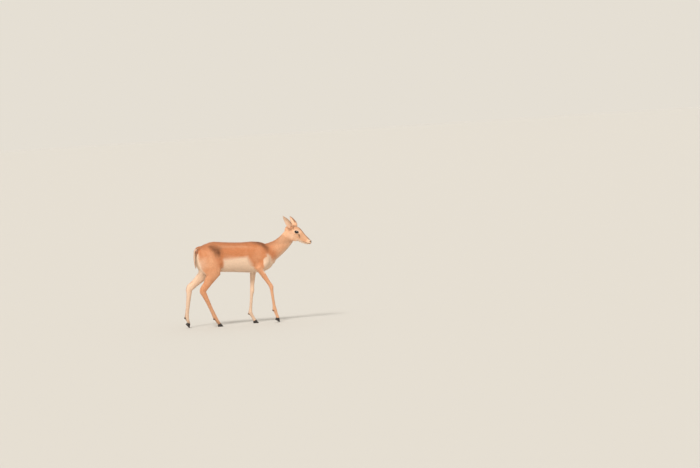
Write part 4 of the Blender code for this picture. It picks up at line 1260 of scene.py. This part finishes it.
@dataclass(frozen=True)
class Hoof:
    """One hoof wall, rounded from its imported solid, with its sharp edges kept."""

    node: str
    sharp_deg: float = 42.0
    crease: float = 0.72
    rounds: int = 3
    face_angle: float = 0.35
    shape_angle: float = 0.9

    def build(self, horn: Material) -> Piece:
        """Makes the hoof in its place."""
        shape = bmesh.new()
        shape.from_mesh(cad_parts[self.node].data)
        bmesh.ops.remove_doubles(shape, verts=shape.verts[:], dist=SAME_PLACE)
        bmesh.ops.join_triangles(
            shape, faces=shape.faces[:],
            angle_face_threshold=self.face_angle, angle_shape_threshold=self.shape_angle,
        )
        creases = shape.edges.layers.float.new("crease_edge")
        for edge in shape.edges:
            if edge.is_manifold and edge.calc_face_angle(0.0) > math.radians(self.sharp_deg):
                edge[creases] = self.crease
        raw = linked("hoof", formed(shape, f"{self.node}_wall"))
        rounded = raw.modifiers.new("Rounded", "SUBSURF")
        rounded.levels = rounded.render_levels = self.rounds
        hoof = baked(raw, f"{self.node}_wall")
        hoof.data.materials.clear()
        hoof.data.materials.append(horn)
        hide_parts(self.node)
        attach(hoof, BODY)
        return hoof


@dataclass(frozen=True)
class DewClaws:
    """The pair of small blunt claws behind one fetlock."""

    leg: Leg
    length: float = 0.0128
    root_radius: float = 0.0047
    root_back: float = 0.0092
    root_side: float = 0.0068
    root_down: float = 0.0015
    flatness: float = 0.85
    flare: float = 0.0052
    bow: float = 0.0016
    ring: int = 14
    widths: tuple = ((0.0, 0.92), (0.3, 1.0), (0.6, 0.88), (0.85, 0.62), (1.0, 0.30))

    def build(self, horn: Material) -> Piece:
        """Makes both claws as closed, tapering horns rooted in the skin."""
        shape = bmesh.new()
        down, back = Vector(self.leg.down()), Vector(self.leg.back())
        for across in (-1, 1):
            root = Vector(self.leg.fetlock) + back * self.root_back
            root = root + Vector((0, self.root_side * across, 0)) + down * self.root_down
            loops = []
            for share, width in self.widths:
                swing = self.flare * share + self.bow * math.sin(math.pi * share)
                centre = root + down * (self.length * share) + back * swing
                loop = []
                for step in range(self.ring):
                    turn = 2 * math.pi * step / self.ring
                    side = Vector((0, 1, 0)) * math.cos(turn) * self.flatness + back * math.sin(turn)
                    loop.append(shape.verts.new(centre + side * self.root_radius * width + Vector(OFFSET)))
                loops.append(loop)
            for upper, lower in zip(loops, loops[1:]):
                for step in range(self.ring):
                    after = (step + 1) % self.ring
                    shape.faces.new((upper[step], upper[after], lower[after], lower[step]))
            shape.faces.new(loops[0])
            shape.faces.new(loops[-1])
        bmesh.ops.recalc_face_normals(shape, faces=shape.faces[:])
        name = f"{self.leg.name}_dewclaws"
        claws = linked(name, formed(shape, name))
        claws.data.materials.append(horn)
        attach(claws, BODY)
        return claws


@dataclass
class Coat:
    """The tufts of short hair, grown over the skin by Geometry Nodes."""

    length: float = 0.0082
    width: float = 0.00115
    flatness: float = 0.30
    fullness: float = 0.35
    lift_deg: float = 10.0
    bend: float = 0.105
    comb: float = 0.0022
    stray: float = 0.13
    uneven: float = 0.25
    spacing: float = 0.0028
    sunk: float = 0.0002
    patch: float = 0.0015
    seed: int = 11
    working: tuple = (
        "lie", "out", "patch", "unwrap", "hair", "height", "size", "thick", "part", "UVMap", "id", "plain",
    )

    def tree(self, material: Material) -> Tree:
        """Builds the Geometry Nodes tree that grows the tufts of one coat part.

        Args:
            material: The finish of the tufts.

        Returns:
            The tree, with the inputs Part, Length, Width, Lift, Density, Sunk and Seed.
        """
        inputs = {
            "Skin": ("NodeSocketGeometry", None), "Part": ("NodeSocketFloat", 1.0),
            "Length": ("NodeSocketFloat", self.length), "Width": ("NodeSocketFloat", self.width),
            "Lift": ("NodeSocketFloat", math.radians(self.lift_deg)),
            "Density": ("NodeSocketFloat", 1.0 / self.spacing ** 2),
            "Sunk": ("NodeSocketFloat", self.sunk), "Seed": ("NodeSocketInt", self.seed),
        }
        kit = Nodes(new_group("coat_tufts", "GeometryNodeTree", inputs, ("Tufts", "NodeSocketGeometry")))
        given, outside = kit.add("NodeGroupInput").outputs, kit.add("NodeGroupOutput").inputs
        tufts = self.combed(kit, self.planted(kit, given), given)
        place = kit.vectors("ADD", kit.read("unwrap", "FLOAT_VECTOR"), kit.read("patch", "FLOAT_VECTOR"))
        mapped = kit.stored(tufts, "OFBake", "FLOAT2", place, "CORNER")
        feeds = {"Geometry": mapped, "Material": material}
        kit.fill(outside, {"Tufts": kit.made("GeometryNodeSetMaterial", feeds)})
        return kit.tree

    def planted(self, kit: Nodes, given: Sockets) -> Socket:
        """The locks, rooted over one part of the skin and turned the way that the hair lies.

        Args:
            kit: The tree's builder.
            given: The tree's inputs.

        Returns:
            The realised locks.
        """
        near = kit.maths("ABSOLUTE", kit.maths("SUBTRACT", kit.read("part"), given["Part"]))
        feeds = {0: near, 1: 0.5}
        chosen = kit.made("FunctionNodeCompare", feeds, data_type="FLOAT", operation="LESS_THAN")
        scatter = kit.add("GeometryNodeDistributePointsOnFaces", distribute_method="RANDOM")
        kit.fill(scatter.inputs, {
            "Mesh": given["Skin"], "Selection": chosen, "Seed": given["Seed"],
            "Density": kit.maths("MULTIPLY", given["Density"], kit.read("thick")),
        })
        points = kit.stored(scatter.outputs["Points"], "out", "FLOAT_VECTOR", scatter.outputs["Normal"])
        out = kit.read("out", "FLOAT_VECTOR")
        feeds = {"Min": (-self.stray,) * 3, "Max": (self.stray,) * 3}
        feeds["Seed"] = kit.maths("ADD", given["Seed"], 5.0)
        stray = kit.made("FunctionNodeRandomValue", feeds, data_type="FLOAT_VECTOR")
        way = kit.vectors("ADD", kit.read("lie", "FLOAT_VECTOR"), kit.vectors("CROSS_PRODUCT", out, stray))
        raised = kit.vectors("ADD", way, kit.scaled(out, kit.maths("SINE", given["Lift"])))
        feeds = {0: raised, 1: out}
        turn = kit.made("FunctionNodeAxesToRotation", feeds, primary_axis="Z", secondary_axis="X")
        feeds = {2: 1.0 - self.uneven, 3: 1.0 + self.uneven, "Seed": kit.maths("ADD", given["Seed"], 9.0)}
        vary = kit.made("FunctionNodeRandomValue", feeds, 1, data_type="FLOAT")
        points = kit.stored(points, "size", "FLOAT", kit.maths("MULTIPLY", kit.read("hair"), vary))
        locks = kit.made("GeometryNodeInstanceOnPoints", {
            "Points": points, "Instance": self.lock(kit, given), "Rotation": turn, "Scale": kit.read("size"),
        })
        return kit.made("GeometryNodeRealizeInstances", {0: locks})

    def combed(self, kit: Nodes, tufts: Socket, given: Sockets) -> Socket:
        """The tufts laid along the skin, each of their corners at its own height over it.

        Args:
            kit: The tree's builder.
            tufts: The realised locks.
            given: The tree's inputs.

        Returns:
            The tufts, moved along the normals of the skin.
        """
        place, facing = kit.made("GeometryNodeInputPosition", {}), kit.made("GeometryNodeInputNormal", {})
        feeds = {"Mesh": given["Skin"], "Value": facing}
        normal = kit.made("GeometryNodeSampleNearestSurface", feeds, data_type="FLOAT_VECTOR")
        feeds = {0: given["Skin"]}
        foot = kit.made("GeometryNodeProximity", feeds, "Position", target_element="FACES")
        over = kit.vectors("DOT_PRODUCT", kit.vectors("SUBTRACT", place, foot), normal)
        wanted = kit.maths("MULTIPLY", kit.read("height"), kit.read("size"))
        missing = kit.maths("SUBTRACT", wanted, over)
        step = kit.maths("MINIMUM", kit.maths("MAXIMUM", missing, -self.comb), self.comb)
        feeds = {"Geometry": tufts, "Offset": kit.scaled(normal, step)}
        return kit.made("GeometryNodeSetPosition", feeds)

    def lock(self, kit: Nodes, given: Sockets) -> Socket:
        """One lock of hair: a spike, flat on its outer side, that bends back to the skin."""
        cone = kit.made("GeometryNodeMeshCone", {
            "Vertices": 3, "Side Segments": 2, "Radius Top": 0.0, "Depth": given["Length"],
            "Radius Bottom": kit.maths("MULTIPLY", given["Width"], 0.5),
        }, "Mesh", fill_type="NGON")
        parts = kit.add("ShaderNodeSeparateXYZ")
        kit.fill(parts.inputs, {0: kit.made("GeometryNodeInputPosition", {})})
        deep, wide, along = parts.outputs
        share = kit.maths("DIVIDE", along, given["Length"])
        arch = kit.maths("SINE", kit.maths("MULTIPLY", share, math.pi))
        belly = kit.maths("MULTIPLY_ADD", arch, -self.fullness, -1.0)
        flat = kit.maths("MULTIPLY", deep, -self.flatness)
        bent = kit.maths("MULTIPLY", given["Length"], -self.bend)
        drop = kit.maths("MULTIPLY", kit.maths("POWER", share, 2.0), bent)
        out = kit.maths("SUBTRACT", kit.maths("ADD", flat, drop), given["Sunk"])
        shaped = kit.joined(out, kit.maths("MULTIPLY", wide, belly), along)
        spike = kit.made("GeometryNodeSetPosition", {"Geometry": cone, "Position": shaped})
        lifted = kit.maths("MULTIPLY", along, kit.maths("SINE", given["Lift"]))
        spike = kit.stored(spike, "height", "FLOAT", kit.maths("ADD", out, lifted))
        across = kit.maths("MULTIPLY", kit.maths("DIVIDE", wide, given["Width"]), self.patch)
        corner = kit.joined(across, kit.maths("MULTIPLY", share, self.patch))
        spike = kit.stored(spike, "patch", "FLOAT_VECTOR", corner)
        return kit.made("GeometryNodeSetShadeSmooth", {0: spike, "Shade Smooth": False})

    def grow(self, skin: Piece, material: Material) -> list[Piece]:
        """Grows every part of the coat as a plain mesh.

        Args:
            skin: The skin with its flow stored on it.
            material: The finish of the tufts.

        Returns:
            The coat pieces.
        """
        tree = self.tree(material)
        sockets = {item.name: item.identifier for item in tree.interface.items_tree if item.in_out == "INPUT"}
        pieces = []
        for part in CoatPart:
            carrier = linked("carrier", skin.data)
            growth = carrier.modifiers.new("Tufts", "NODES")
            growth.node_group = tree
            growth[sockets["Part"]] = float(part.value)
            growth[sockets["Seed"]] = self.seed + part.value
            piece = baked(carrier, f"coat_{part.name.lower()}")
            for name in self.working:
                layer = piece.data.attributes.get(name)
                if layer is not None:
                    piece.data.attributes.remove(layer)
            pieces.append(piece)
            log.info("%s: %d triangles", piece.name, triangle_count(piece.data))
        return pieces


@dataclass(frozen=True)
class PhotoCamera:
    """The camera that keeps the photograph's framing and angle."""

    width: int = 700
    height: int = 468
    lens_mm: float = 200.0
    sensor_mm: float = 36.0
    pixels_per_metre: float = 137.0
    heading_deg: float = 12.0
    elevation_deg: float = 3.0
    roll_deg: float = 3.5
    anchor_pixel: tuple[float, float] = (235.0, 325.0)
    aim: Point = (0.13, 0.0, 0.36)
    farthest: float = 200.0

    def build(self) -> Piece:
        """Places the camera and makes it the scene's own."""
        turn, tilt, roll = (math.radians(a) for a in (self.heading_deg, self.elevation_deg, self.roll_deg))
        across = np.array((math.cos(turn), -math.sin(turn), 0.0))
        rise = np.array((math.sin(turn) * math.sin(tilt), math.cos(turn) * math.sin(tilt), math.cos(tilt)))
        ahead = np.array((math.sin(turn) * math.cos(tilt), math.cos(turn) * math.cos(tilt), -math.sin(tilt)))
        right = across * math.cos(roll) - rise * math.sin(roll)
        up = across * math.sin(roll) + rise * math.cos(roll)
        focal = self.width * self.lens_mm / self.sensor_mm
        aim = np.array(self.aim)
        column = self.anchor_pixel[0] + self.pixels_per_metre * (aim @ right)
        row = self.anchor_pixel[1] - self.pixels_per_metre * (aim @ up)
        place = aim + OFFSET - ahead * (focal / self.pixels_per_metre)
        look = ahead - right * (column - self.width / 2) / focal - up * (self.height / 2 - row) / focal
        look /= np.linalg.norm(look)
        right -= look * (right @ look)
        right /= np.linalg.norm(right)
        up = np.cross(right, look)
        data = bpy.data.cameras.new("photo_camera")
        data.lens, data.sensor_width, data.clip_end = self.lens_mm, self.sensor_mm, self.farthest
        camera = linked("photo_camera", data)
        camera.matrix_world = Matrix(np.column_stack((right, up, -look, place)).tolist() + [[0, 0, 0, 1]])
        bpy.context.scene.camera = camera
        return camera


@dataclass(frozen=True)
class Sun:
    """A far soft light; its turns are in degrees, and unturned it shines straight down."""

    name: str
    turns: Point
    power: float
    softness_deg: float
    colour: Point

    def build(self) -> None:
        """Puts the light into the scene."""
        data = bpy.data.lights.new(self.name, "SUN")
        data.energy, data.angle, data.color = self.power, math.radians(self.softness_deg), self.colour
        linked(self.name, data).rotation_euler = [math.radians(turn) for turn in self.turns]


@dataclass(frozen=True)
class Studio:
    """A plain pale floor under plain soft light."""

    floor_size: float = 160.0
    floor_colour: tuple = (0.56, 0.55, 0.53, 1.0)
    floor_roughness: float = 0.9
    floor_gloss: float = 0.1
    air_colour: tuple = (0.826, 0.776, 0.690, 1.0)
    air_strength: float = 0.95
    suns: tuple[Sun, ...] = (
        Sun("key_light", (42.0, 0.0, -32.0), 2.3, 16.0, (1.0, 0.955, 0.89)),
        Sun("fill_light", (50.0, 0.0, 160.0), 0.35, 60.0, (1.0, 0.98, 0.95)),
    )

    def build(self) -> None:
        """Makes the floor, the lights and the pale surroundings."""
        half = self.floor_size / 2
        mesh = bpy.data.meshes.new("studio_floor")
        corners = [(-half, -half, 0), (half, -half, 0), (half, half, 0), (-half, half, 0)]
        mesh.from_pydata(corners, [], [(0, 1, 2, 3)])
        material, kit, shader = new_finish("pale_floor")
        kit.fill(shader, {
            "Base Color": self.floor_colour, "Roughness": self.floor_roughness,
            "Specular IOR Level": self.floor_gloss,
        })
        mesh.materials.append(material)
        floor = linked("studio_floor", mesh)
        for sun in self.suns:
            sun.build()
        world = bpy.data.worlds.new("studio_air")
        world.use_nodes = True
        sky = world.node_tree.nodes["Background"]
        sky.inputs["Color"].default_value = self.air_colour
        sky.inputs["Strength"].default_value = self.air_strength
        bpy.context.scene.world = world
        bpy.context.scene.view_settings.view_transform = "Standard"


@dataclass
class Blackbuck:
    """The whole dressed animal."""

    skin: Skin = field(default_factory=Skin)
    face: Face = field(default_factory=Face)
    flow: CoatFlow = field(default_factory=CoatFlow)
    coat: Coat = field(default_factory=Coat)

    def build(self) -> None:
        """Builds and dresses the skin, the coat, the eyes and the hooves."""
        strands, colours = hair_group(), colour_group()
        hide = HairFinish("short_hair_skin", 800.0, 0.6, 0.4, 0.72, 0.36, strands, colours).make()
        tufts = HairFinish("short_hair_tufts", 1100.0, 1.0, 0.2, 0.64, 0.40, strands, colours).make()
        skin = self.skin.build()
        self.face.refine(skin.data)
        skin.data.materials.clear()
        skin.data.materials.append(hide)
        self.flow.record(skin.data)
        self.skin.settle(skin.data)
        self.face.carve(skin.data)
        self.skin.unwrap(skin)
        pieces = self.coat.grow(skin, tufts)
        for name in ("lie", "hair", "thick", "part", "unwrap"):
            skin.data.attributes.remove(skin.data.attributes[name])
        while skin.data.uv_layers:
            skin.data.uv_layers.remove(skin.data.uv_layers[0])
        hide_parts(*FLESH_NODES)
        for piece in [skin, *pieces]:
            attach(piece, BODY)
        self.harden()

    def harden(self) -> None:
        """Builds the eyes, the hooves and the small claws."""
        for side in Side:
            log.info("%s built", Eye(side).build().name)
        horn = HoofFinish().make()
        for name in sorted(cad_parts):
            if "hoof" in name:
                log.info("%s built", Hoof(name).build(horn).name)
        for leg in LEGS:
            log.info("%s built", DewClaws(leg).build(horn).name)


def main() -> None:
    """Builds the camera, the studio and the animal."""
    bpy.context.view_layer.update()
    PhotoCamera().build()
    Studio().build()
    Blackbuck().build()


if __name__ == "__main__":
    main()
